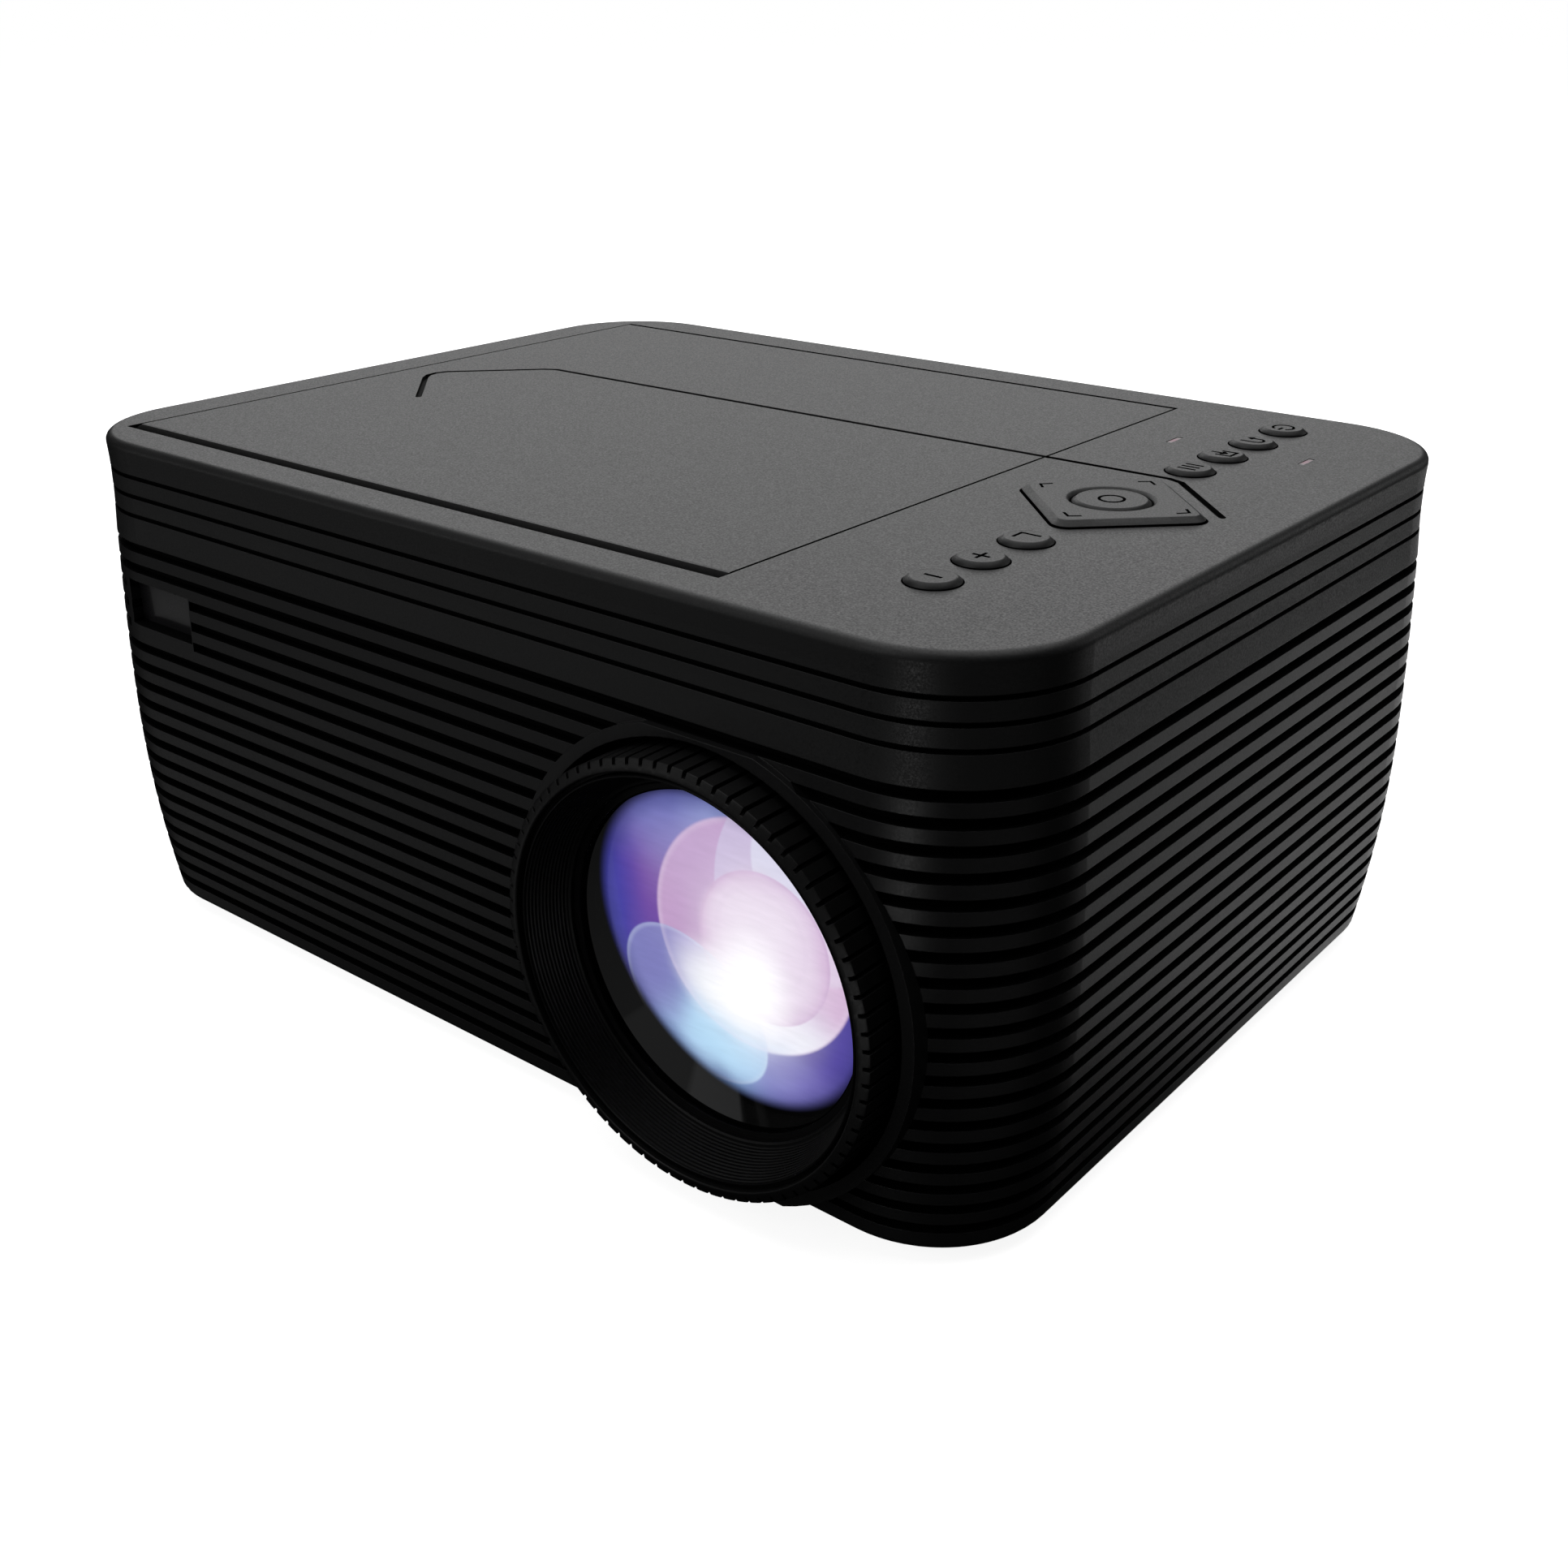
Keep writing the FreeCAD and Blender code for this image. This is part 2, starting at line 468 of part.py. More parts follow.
CHZ = 91.0
chassis = cut(
    "chassis",
    fuse("chassis_sum", box("chassis_plate", (DX - 34, 60.0), (DY - 34, DY + 34), (CHZ, CHZ + 1.2)),
         box("chassis_end", (58.8, 60.0), (DY + 14, DY + 34), (CHZ - 10, CHZ + 1.0)),
         box("rail_block_in", (DX + 16.0, DX + 19.0), (DY - 24, DY + 30), (CHZ - 9.5, CHZ + 0.6)),
         box("rail_block_out", (55.8, 58.8), (DY - 24, DY + 34), (CHZ - 9.5, CHZ + 0.6))),
    box("chassis_window", (DX + 19.0, 55.8), (DY - 30, DY + 30), (CHZ - 1, CHZ + 3)),
    cyl("chassis_motor_hole", ("Dims.disc_x", "Dims.disc_y", CHZ - 1), 9.0, 4),
    cyl("rail_hole_a", (DX + 10, DY - 19, CHZ - 5), 1.5, 90, "x"),
    cyl("rail_hole_b", (DX + 10, DY + 19, CHZ - 5), 1.5, 90, "x"),
    cyl("screw_hole", (DX + 15, DY + 25.5, CHZ - 5), 1.55, 90, "x"))
DAMP = ((DX - 29, DY - 29), (DX - 29, DY + 29), (50, DY - 32.2 + 3), (50, DY + 32.2 - 3))
damper_spots = ((DX - 29, DY - 29), (DX - 29, DY + 29), (56.5, DY - 29), (56.5, DY + 29))
chassis2 = cut("chassis_drilled", chassis, *[cyl("damper_hole%d" % i, (x, y, CHZ - 1), 2.0, 4) for i, (x, y) in enumerate(damper_spots[:2])])
node(chassis2, "drive_chassis")
node(group("dampers", *[cyl("damper%d" % i, (x, y, CHZ + 1.2), 4.0, WF - 1.6 - CHZ - 1.2) for i, (x, y) in
                        enumerate(((DX - 29, DY - 29), (DX - 29, DY + 29), (DX + 4, DY - 31), (DX + 4, DY + 31)))]), "drive_dampers")
motor = cut("spindle_stator",
            fuse("spindle_sum", cyl("stator_base", ("Dims.disc_x", "Dims.disc_y", CHZ - 3.0), 15.0, 3.0),
                 cyl("stator_bush", ("Dims.disc_x", "Dims.disc_y", CHZ - 3.0), 3.0, 6.4)),
            cyl("stator_bore", ("Dims.disc_x", "Dims.disc_y", CHZ - 2.0), 1.05, 12))
node(motor, "spindle_motor")
hub = fuse("hub_sum",
           cyl("hub_shaft", ("Dims.disc_x", "Dims.disc_y", CHZ - 1.8), 1.0, 8.0),
           cut("hub_can", cyl("hub_can_out", ("Dims.disc_x", "Dims.disc_y", CHZ + 1.5), 14.5, WF + 0.2 - CHZ - 1.5),
               cyl("hub_can_in", ("Dims.disc_x", "Dims.disc_y", CHZ + 0.5), 13.3, 4.0)),
           cyl("hub_boss", ("Dims.disc_x", "Dims.disc_y", WF + 0.1), 7.4, 2.5),
           cone("hub_nose", ("Dims.disc_x", "Dims.disc_y", WF + 2.6), 7.4, 6.0, 0.8))
node(hub, "disc_hub")
node(cut("hub_ring", cyl("hub_ring_out", ("Dims.disc_x", "Dims.disc_y", WF + 0.2), 14.2, 0.4),
         cyl("hub_ring_in", ("Dims.disc_x", "Dims.disc_y", WF), 10.0, 1.0)), "disc_hub_ring")
SX = DX + 24.0
sled = cut("sled", fuse("sled_sum", box("sled_body", (SX - 4.6, SX + 16.0), (DY - 22, DY + 22), (CHZ - 7.6, CHZ - 1.6)),
                        box("sled_head", (SX - 4.6, SX + 7.0), (DY - 12, DY + 12), (CHZ - 1.7, CHZ + 3.6)),
                        box("sled_rack", (SX + 4.0, SX + 12.0), (DY + 21.5, DY + 28.5), (CHZ - 8.0, CHZ - 2.0))),
           cyl("sled_rail_a", (SX - 10, DY - 19, CHZ - 5), 1.55, 40, "x"), cyl("sled_rail_b", (SX - 10, DY + 19, CHZ - 5), 1.55, 40, "x"),
           cyl("sled_nut", (SX - 10, DY + 25.5, CHZ - 5), 1.56, 40, "x"),
           cyl("lens_seat", (SX, "Dims.disc_y", CHZ + 2.4), 3.0, 4))
node(sled, "laser_sled")
node(fuse("objective", cyl("objective_body", (SX, "Dims.disc_y", CHZ + 2.4), 3.0, 1.6), cone("objective_dome", (SX, "Dims.disc_y", CHZ + 4.0), 2.2, 1.3, 0.6)), "laser_lens")
node(group("rails", cyl("rail_a", (DX + 16, DY - 19, CHZ - 5), 1.5, 58.8 - DX - 16, "x"), cyl("rail_b", (DX + 16, DY + 19, CHZ - 5), 1.5, 58.8 - DX - 16, "x")), "sled_rails")
node(cyl("screw_shaft", (DX + 16.0, DY + 25.5, CHZ - 5), 1.5, 58.8 - DX - 16, "x"), "lead_screw")
node(cut("sled_motor_can", cyl("sled_motor_body", (60.0, DY + 25.5, CHZ - 5), 6.5, 10.0, "x"),
         cyl("sled_motor_bore", (59.0, DY + 25.5, CHZ - 5), 1.7, 3.0, "x")), "sled_motor")

# ---- keys ---------------------------------------------------------------------
for n, y in KEYS:
    cap = cyl(n + "_cap", ("Dims.key_x", y, 103.6), "Dims.key_rad", V["key_top"] - 0.75 - 103.6)
    rim = cone(n + "_edge", ("Dims.key_x", y, V["key_top"] - 0.75), "Dims.key_rad", "Dims.key_rad - 0.75", 0.75)
    node(fuse(n + "_sum", cap, rim, cyl(n + "_skirt", ("Dims.key_x", y, 103.5), 5.8, 0.7),
              cyl(n + "_stem", ("Dims.key_x", y, 101.0), 1.8, 2.7)), n)

nav_form = Part.makeBox(29, 29, 6)
nav_form = nav_form.makeFillet(3.0, [e for e in nav_form.Edges if upright(e)])
nav = chamfer("nav_edge", diamond("nav_plate", V["nav_half"], 103.2, V["nav_top"], 3.0), nav_form, at_z(6), 0.8)
nav_posts = [cyl("nav_post%d" % i, (V["nav_x"] + dx, V["nav_y"] + dy, 100.8), 1.2, 2.6) for i, (dx, dy) in
             enumerate(((0, 17.2), (0, -17.2)))]
nav_posts += [cyl("nav_post%d" % (i + 2), (V["nav_x"] + dx, V["nav_y"], 101.9), 1.2, 1.5) for i, dx in enumerate((-17.4, 17.4))]
nav_ears = [box("nav_lug_a", (V["nav_x"] - 2.2, V["nav_x"] + 2.2), (V["nav_y"] + 13.0, V["nav_y"] + 15.4), (100.3, 103.4)),
            box("nav_lug_b", (V["nav_x"] - 2.2, V["nav_x"] + 2.2), (V["nav_y"] - 15.4, V["nav_y"] - 13.0), (100.3, 103.4))]
nav_key = cut("nav_key", fuse("nav_sum", nav, *(nav_posts[:2] + nav_ears)),
              cyl("nav_ok_hole", ("Dims.nav_x", "Dims.nav_y", 90), "Dims.ok_hole", 30),
              cone("nav_dish", ("Dims.nav_x", "Dims.nav_y", V["nav_top"] - 0.7), "Dims.ok_hole", "Dims.ok_dish + 0.05", 0.75),
              cyl("nav_gimbal_bore", ("Dims.nav_x", V["nav_y"] - 20, GZ), 0.85, 40, "y"),
              *[box("ear_room%d" % i, (V["nav_x"] + s * 15.0 - 2.4, V["nav_x"] + s * 15.0 + 2.4), (V["nav_y"] - 3.2, V["nav_y"] + 3.2), (99, 103.6)) for i, s in enumerate((-1, 1))])
node(nav_key, "navigation_key")
gimbal = fuse("gimbal", cut("gimbal_ring", cyl("gimbal_out", ("Dims.nav_x", "Dims.nav_y", 100.5), 12.4, 1.8),
                            cyl("gimbal_in", ("Dims.nav_x", "Dims.nav_y", 99), 9.4, 6)),
              cyl("gimbal_pin_xa", (V["nav_x"] - 15.4, "Dims.nav_y", GZ), 0.8, 4.0, "x"),
              cyl("gimbal_pin_xb", (V["nav_x"] + 11.4, "Dims.nav_y", GZ), 0.8, 4.0, "x"),
              cyl("gimbal_pin_ya", ("Dims.nav_x", V["nav_y"] - 15.2, GZ), 0.8, 4.0, "y"),
              cyl("gimbal_pin_yb", ("Dims.nav_x", V["nav_y"] + 11.2, GZ), 0.8, 4.0, "y"))
node(gimbal, "navigation_gimbal")
ok_cap = cyl("ok_cap", ("Dims.nav_x", "Dims.nav_y", 103.9), "Dims.ok_rad", V["nav_top"] - 0.4 - 103.9)
ok_edge = cone("ok_edge", ("Dims.nav_x", "Dims.nav_y", V["nav_top"] - 0.4), "Dims.ok_rad", "Dims.ok_rad - 0.4", 0.4)
node(fuse("ok_sum", ok_cap, ok_edge, cyl("ok_skirt", ("Dims.nav_x", "Dims.nav_y", 101.9), 8.6, 0.9),
          cyl("ok_neck", ("Dims.nav_x", "Dims.nav_y", 101.9), 6.6, 2.6), cyl("ok_stem", ("Dims.nav_x", "Dims.nav_y", 100.9), 2.0, 1.2)), "ok_key")
board = cut("key_board_cut", box("key_board_plate", (73.0, 101.5), (-71, 81), (96.5, 98.1)),
            *[cyl("key_board_hole%d" % i, (x, y, 95), 1.2, 4) for i, (x, y) in enumerate(((77.5, -66), (77.5, 76), (98, -66), (98, 76)))])
spots = [(V["key_x"], y) for _, y in KEYS] + [(V["nav_x"], V["nav_y"] - 17.2), (V["nav_x"], V["nav_y"] + 17.2), (V["nav_x"], V["nav_y"])]
switches = []
for i, (x, y) in enumerate(spots):
    switches.append(fuse("tact%d" % i, box("tact_body%d" % i, (x - 2.6, x + 2.6), (y - 2.6, y + 2.6), (98.1, 99.7)), cyl("tact_top%d" % i, (x, y, 99.6), 1.4, 0.6)))
leds = [box("indicator_led%d" % i, (x - 1.4, x + 1.4), (y - 1.4, y + 1.4), (98.1, 99.4)) for i, (x, y) in enumerate(((74.9, 50.3), (99.7, 50.2)))]
node(group("key_board_all", board, *(switches + leds)), "key_board")
node(group("indicator_all", *[box("indicator%d" % i, (x - 0.6, x + 0.6), (y - 2.65, y + 2.65), (101.0, H - 0.1)) for i, (x, y) in enumerate(LEDS)]), "indicator_windows")

# ---- lens and focusing --------------------------------------------------------
LA = ("Dims.lens_x", "Dims.lens_z")


def along(name, y, radius, length):
    return cyl(name, (LA[0], y, LA[1]), radius, length, "y")


# focus ring: a revolved body with a pocketed notch repeated round it
ring = doc.addObject("PartDesign::Body", "focus_ring_body")
plane = [f for f in ring.Origin.OriginFeatures if f.Role == "XZ_Plane"][0]
sk = ring.newObject("Sketcher::SketchObject", "ring_outline")
sk.AttachmentSupport = [(plane, "")]
sk.MapMode = "FlatFace"
sk.addGeometry(Part.Circle(Vector(0, 0, 0), Vector(0, 0, 1), V["ring_rad"]), False)
sk.addGeometry(Part.Circle(Vector(0, 0, 0), Vector(0, 0, 1), V["ring_lip"]), False)
sk.addConstraint(Sketcher.Constraint("Coincident", 0, 3, -1, 1))
sk.addConstraint(Sketcher.Constraint("Coincident", 1, 3, -1, 1))
sk.setExpression("Constraints[%d]" % sk.addConstraint(Sketcher.Constraint("Radius", 0, V["ring_rad"])), "Dims.ring_rad")
sk.setExpression("Constraints[%d]" % sk.addConstraint(Sketcher.Constraint("Radius", 1, V["ring_lip"])), "Dims.ring_lip")
pad = ring.newObject("PartDesign::Pad", "ring_pad")
pad.Profile = sk
pad.setExpression("Length", "Dims.ring_back - Dims.ring_front")
pad.Reversed = True
doc.recompute()
bore = ring.newObject("Sketcher::SketchObject", "ring_bore_outline")
bore.AttachmentSupport = [(plane, "")]
bore.MapMode = "FlatFace"
bore.addGeometry(Part.Circle(Vector(0, 0, 0), Vector(0, 0, 1), V["ring_bore"]), False)
bore.addConstraint(Sketcher.Constraint("Coincident", 0, 3, -1, 1))
bore.setExpression("Constraints[%d]" % bore.addConstraint(Sketcher.Constraint("Radius", 0, V["ring_bore"])), "Dims.ring_bore")
bore.AttachmentOffset = Placement(Vector(0, 0, -1.7), Rotation())
pocket = ring.newObject("PartDesign::Pocket", "ring_bore_pocket")
pocket.Profile = bore
pocket.Length = 40
pocket.Reversed = False
ring.Placement = Placement(Vector(0, 0, 0), Rotation())
ring.setExpression("Placement.Base.x", "Dims.lens_x")
ring.setExpression("Placement.Base.y", "Dims.ring_front + Dims.shift_y")
ring.setExpression("Placement.Base.z", "Dims.lens_z + Dims.shift_z")
doc.recompute()


def notch_comb():
    """The notches as one cutter: bars round the rim, running the ring's whole length."""
    bars = []
    w, d, r0 = V["notch_width"], V["notch_depth"], V["ring_rad"]
    n = int(V["notch_count"])
    for i in range(n):
        b = Part.makeBox(w, 20.0, d + 1.0, Vector(-w / 2, V["ring_front"] - 1.0, r0 - d))
        b.rotate(Vector(0, 0, 0), Vector(0, 1, 0), 360.0 * i / n)
        b.translate(Vector(LX, SY, LZ + SZ))
        bars.append(b)
    return Part.makeCompound(bars)


notches = solid("notch_comb", notch_comb())
ring_cut = doc.addObject("Part::Cut", "focus_ring_cut")
ring_cut.Base = ring
ring_cut.Tool = notches
node(ring_cut, "focus_ring")

mount = cut("mount", fuse("mount_sum", along("mount_tube", -96.2, "Dims.mount_rad", 50.2),
                          box("mount_flange", (LX - 38.0, LX + 38.0), (-49.0, -46.0), (8.0, 76.0)),
                          along("mount_stop", -83.2, 40.8, 4.0)),
            along("mount_bore_cut", -110, "Dims.mount_bore", 80))
node(mount, "lens_mount")
barrel = cut("barrel", along("barrel_tube", -97.3, "Dims.barrel_rad", 46.0),
             cyl("barrel_cavity", (LA[0], -110, LA[1]), 30.4, 80, "y"),
             cone("barrel_cone", (LA[0], -97.4, LA[1]), 36.9, 34.1, 8.0, "y"),
             along("barrel_step", -89.45, 33.2, 1.2),
             along("barrel_seat", -88.3, "Dims.glass_rad", 6.3),
             along("barrel_inner_seat", -68.0, "Dims.glass_rad", 20))
node(barrel, "lens_barrel")


def lens_shape(y_edge, edge, radius, bulge_front, bulge_back):
    """A glass element turned about the lens axis, edge thickness and the bulge of each face."""
    yf, yb = y_edge, y_edge + edge

    def arc_mid(y0, b):
        if abs(b) < 1e-6:
            return None
        rs = (radius * radius + b * b) / (2 * abs(b))
        drop = rs - math.sqrt(rs * rs - (radius / 2) ** 2)
        return y0 + math.copysign(abs(b) - drop, b)
    pf, pb = Vector(0, yf - bulge_front, 0), Vector(0, yb + bulge_back, 0)
    ef, eb = Vector(radius, yf, 0), Vector(radius, yb, 0)
    edges = []
    mf = arc_mid(yf, -bulge_front)
    edges.append(Part.Arc(pf, Vector(radius / 2, mf, 0), ef).toShape() if mf is not None else Part.LineSegment(pf, ef).toShape())
    edges.append(Part.LineSegment(ef, eb).toShape())
    mb = arc_mid(yb, bulge_back)
    edges.append(Part.Arc(eb, Vector(radius / 2, mb, 0), pb).toShape() if mb is not None else Part.LineSegment(eb, pb).toShape())
    edges.append(Part.LineSegment(pb, pf).toShape())
    s = Part.Face(Part.Wire(edges)).revolve(Vector(0, 0, 0), Vector(0, 1, 0), 360)
    s.translate(Vector(LX, SY, LZ + SZ))
    return s


node(solid("front_glass", lens_shape(-88.2, 2.6, V["glass_rad"] - 0.02, 3.2, -2.0)), "front_lens")
front_ret = cut("front_ret", along("front_ret_out", -85.5, "Dims.glass_rad - 0.02", 3.3), along("front_ret_in", -86, 30.6, 5))
rear_glass = solid("rear_glass", lens_shape(-67.5, 4.0, V["glass_rad"] - 0.02, 4.0, 4.0))
# the middle element sits in the barrel's narrower bore, just behind the front seat
middle_glass = solid("middle_glass", lens_shape(-81.6, 2.4, 30.36, 2.2, 1.6))
node(group("inner_glass", middle_glass, rear_glass), "inner_lenses")
rear_ret = cut("rear_ret", along("rear_ret_out", -63.2, "Dims.glass_rad - 0.02", 2.4), along("rear_ret_in", -64, 31.0, 5))
node(group("lens_rings", front_ret, rear_ret), "lens_retainers")

# ---- optical engine -----------------------------------------------------------
MY = 6.0
tray = cut("tray", box("tray_out", (-68, 102), (-46, 58), (7.6, 73.9)),
           box("tray_in", (-66, 100), (-44, 56), (9.6, 80)),
           cyl("tray_light_in", (-70, MY, "Dims.lens_z"), 22.0, 6, "x"),
           cyl("tray_lens_hole", ("Dims.lens_x", -50, "Dims.lens_z"), 31.0, 6, "y"))


def wedge(pts, z0, z1):
    vs = [Vector(x, y + SY, z0 + SZ) for x, y in pts]
    return Part.Face(Part.makePolygon(vs + [vs[0]])).extrude(Vector(0, 0, z1 - z0))


corner_cut = solid("tray_corner", wedge(((60, 60), (104, 60), (104, 16)), 0, 90))
corner_wall = solid("tray_corner_wall", wedge(((57.2, 58), (62.0, 58), (102, 18.0), (102, 13.2)), 7.6, 73.9))
tray = fuse("tray_sum", cut("tray_cornered", tray, corner_cut), corner_wall)
# slots that hold the Fresnel lenses and the panel
holders = [box("holder%d" % i, (x - 3.0, x + 3.0), (-44.5, -41.5), (9.0, 72.0)) for i, x in enumerate((-16, 0, 16))]
holders += [box("holder_b%d" % i, (x - 3.0, x + 3.0), (53.5, 56.5), (9.0, 72.0)) for i, x in enumerate((-16, 0, 16))]
tray = cut("tray_slotted", fuse("tray_holders", tray, *holders),
           box("slot_a", (-17.0, -15.0), (-43.0, 55.0), (9.6, 80)), box("slot_b", (-1.6, 1.6), (-43.0, 55.0), (9.6, 80)),
           box("slot_c", (15.0, 17.0), (-43.0, 55.0), (9.6, 80)))
node(tray, "engine_tray")
node(cut("engine_lid", box("engine_lid_plate", (-68, 102), (-46, 58), (73.9, 75.9)), solid("engine_lid_corner", wedge(((60, 60), (104, 60), (104, 16)), 0, 90))), "engine_cover")
node(group("fresnels", box("fresnel_a", (-17.0, -15.0), (-43.0, 55.0), (9.6, 73.8)), box("fresnel_b", (15.0, 17.0), (-43.0, 55.0), (9.6, 73.8))), "fresnel_lenses")
node(box("lcd", (-1.6, 1.6), (-43.0, 55.0), (9.6, 73.8)), "lcd_panel")
mirror = doc.addObject("Part::Box", "mirror_plate")
for prop, tag, val in (("Length", "len", 84.0), ("Width", "thick", 2.0), ("Height", "tall", 62.0)):
    mirror.setExpression(prop, E("mirror_" + tag, val))
mirror.Placement = Placement(Vector(0, 0, 0), Rotation(Vector(0, 0, 1), -45))
place(mirror, "mirror", LX - 42.0 * math.sqrt(0.5), MY + 42.0 * math.sqrt(0.5), 11.0)
mirror.Placement = Placement(mirror.Placement.Base, Rotation(Vector(0, 0, 1), -45))
node(mirror, "fold_mirror")


def condenser_shape():
    s = Part.makeSphere(30.0)
    s.translate(Vector(-62.0 - 18.0, 0, 0))
    s = s.common(Part.makeCylinder(21.8, 40, Vector(-62.0, 0, 0), Vector(1, 0, 0)))
    s = s.fuse(Part.makeCylinder(21.8, 2.0, Vector(-64.0, 0, 0), Vector(1, 0, 0)))
    s.translate(Vector(0, MY + SY, LZ + SZ))
    return s


node(solid("condenser", condenser_shape()), "condenser_lens")
node(fuse("led", box("led_board", (-72.0, -70.4), (MY - 20, MY + 20), (LZ - 20, LZ + 20)), cyl("led_die", (-70.5, MY, "Dims.lens_z"), 11.0, 2.0, "x")), "led_module")
fins = [box("fin%d" % i, (-97.0, -76.9), (MY - 30 + 5.4 * i, MY - 28.6 + 5.4 * i), (LZ - 30, LZ + 30)) for i in range(12)]
node(fuse("sink", box("sink_base", (-77.0, -72.0), (MY - 30, MY + 31), (LZ - 30, LZ + 30)), *fins), "heat_sink")


def fan(tag, x0, cy, cz, size, depth):
    """Axial fan about X: square frame with four struts, and its rotor."""
    h = size / 2.0
    r = h - 2.0
    frame = cut(tag + "_frame", box(tag + "_square", (x0, x0 + depth), (cy - h, cy + h), (cz - h, cz + h)),
                cyl(tag + "_throat", (x0 - 1, cy, cz), r, depth + 2, "x"),
                *[cyl(tag + "_ear%d" % i, (x0 - 1, cy + a * (h - 4), cz + b * (h - 4)), 1.8, depth + 2, "x") for i, (a, b) in enumerate(((1, 1), (-1, 1), (-1, -1), (1, -1)))])
    hubr = 11.0
    back = [cyl(tag + "_base", (x0, cy, cz), hubr, 2.0, "x"), box(tag + "_strut_a", (x0, x0 + 1.6), (cy - r - 1, cy + r + 1), (cz - 1.2, cz + 1.2)),
            box(tag + "_strut_b", (x0, x0 + 1.6), (cy - 1.2, cy + 1.2), (cz - r - 1, cz + r + 1)),
            cyl(tag + "_bush", (x0, cy, cz), 3.0, 8.0, "x")]
    frame = cut(tag + "_frame_all", fuse(tag + "_frame_sum", frame, *back), cyl(tag + "_shaft_bore", (x0 + 1.0, cy, cz), 1.05, 20, "x"))
    blades = []
    for i in range(7):
        b = Part.makeBox(8.0, r - 1.0 - hubr + 1.5, 1.1, Vector(-4.0, hubr - 1.5, -0.55))
        b.rotate(Vector(0, 0, 0), Vector(0, 1, 0), 38)
        b.rotate(Vector(0, 0, 0), Vector(1, 0, 0), 360.0 * i / 7)
        blades.append(b)
    cup = Part.makeCylinder(hubr, 9.0, Vector(-4.5, 0, 0), Vector(1, 0, 0)).cut(Part.makeCylinder(hubr - 1.2, 7.6, Vector(-5.0, 0, 0), Vector(1, 0, 0)))
    shaft = Part.makeCylinder(1.0, 9.9, Vector(-6.0, 0, 0), Vector(1, 0, 0))
    rotor = cup.fuse([shaft] + blades)
    rotor.translate(Vector(x0 + 8.4, cy + SY, cz + SZ))
    return frame, solid(tag + "_rotor", rotor)


frame, rotor = fan("exhaust", -114.6, 12.0, 42.0, 60.0, 15.0)
node(frame, "exhaust_fan_frame")
node(rotor, "exhaust_fan_rotor")
frame, rotor = fan("intake", 102.2, -20.0, 40.0, 50.0, 13.6)
node(frame, "intake_fan_frame")
node(rotor, "intake_fan_rotor")

# ---- electronics --------------------------------------------------------------
node(group("main_board_all", box("main_board_plate", (-94, 58), (61.0, 62.6), (6.0, 74.0)), box("chip_soc", (-40, -18), (58.9, 61.0), (44, 66)), box("chip_ram", (-8, 6), (59.6, 61.0), (50, 62)),
           box("chip_flash", (-62, -52), (59.6, 61.0), (48, 60)), box("chip_cap_row", (20, 44), (59.2, 61.0), (60, 66))), "main_board")
node(group("power_board_all", box("power_board_plate", (-92, -6), (-52.0, -50.4), (6.0, 72.0)), box("transformer", (-60, -34), (-76, -52), (20, 48)), cyl("bulk_cap", (-76, -52, 26), 9.0, 22.0, "-y"),
           box("choke", (-28, -12), (-68, -52), (14, 32)), box("relay", (-28, -14), (-66, -52), (42, 60)), cyl("out_cap", (-76, -52, 54), 6.0, 18.0, "-y")), "power_board")
speakers = []
for tag, side, y in (("speaker_left", -1, -46.0), ("speaker_right", 1, 37.0)):
    x_out = 114.4
    basket = cone(tag + "_basket", (x_out * side, y, 46.0), 18.5, 12.0, 7.0, "x")
    if side > 0:
        basket.Placement = Placement(basket.Placement.Base, Rotation(Vector(0, 1, 0), -90))
    magnet = cyl(tag + "_magnet", (side * x_out - (0 if side < 0 else 0), y, 46.0), 10.0, 12.0, "x")
    if side > 0:
        magnet.Placement = Placement(magnet.Placement.Base, Rotation(Vector(0, 1, 0), -90))
    speakers.append(fuse(tag + "_sum", basket, magnet))
node(group("speaker_pair", *speakers), "speakers")

# rear sockets: panel plate seated from inside, sockets on the board behind it
RP = 85.0
panel = cut("panel", box("panel_plate", (-78, 58), (RP - 0.4, RP + 1.6), (12, 37)),
            box("panel_hdmi", (-66.8, -51.2), (RP - 2, RP + 3), (21.4, 28.0)), box("panel_usb", (-42.0, -27.0), (RP - 2, RP + 3), (21.0, 29.0)),
            cyl("panel_av", (-14, RP - 2, 24.5), 4.0, 6, "y"), cyl("panel_phones", (4, RP - 2, 24.5), 4.0, 6, "y"))
node(panel, "rear_panel")
node(fuse("hdmi_sum", cut("hdmi_shell", box("hdmi_out", (-66.7, -51.3), (62.6, RP + 1.8), (21.5, 27.9)), box("hdmi_in", (-66.1, -51.9), (73.0, RP + 3), (22.3, 27.1))),
          box("hdmi_tongue", (-64.5, -53.5), (72.5, RP - 0.4), (24.3, 25.1))), "hdmi_socket")
node(fuse("usb_sum", cut("usb_shell", box("usb_out", (-41.9, -27.1), (62.6, RP + 1.8), (21.1, 28.9)), box("usb_in", (-40.8, -28.2), (70.0, RP + 3), (22.3, 27.7))),
          box("usb_tongue", (-40.0, -29.0), (69.5, RP - 0.6), (25.9, 27.7))), "usb_socket")
jacks = []
for tag, x in (("av_jack", -14), ("headphone_jack", 4)):
    jacks.append(cut(tag + "_cut", fuse(tag + "_sum", box(tag + "_body", (x - 5.5, x + 5.5), (62.6, RP - 0.4), (18.5, 30.5)), cyl(tag + "_nose", (x, RP - 1, 24.5), 3.9, 3.2, "y")),
             cyl(tag + "_bore", (x, RP - 12.3, 24.5), 1.8, 20, "y")))
node(group("jack_pair", *jacks), "audio_jacks")
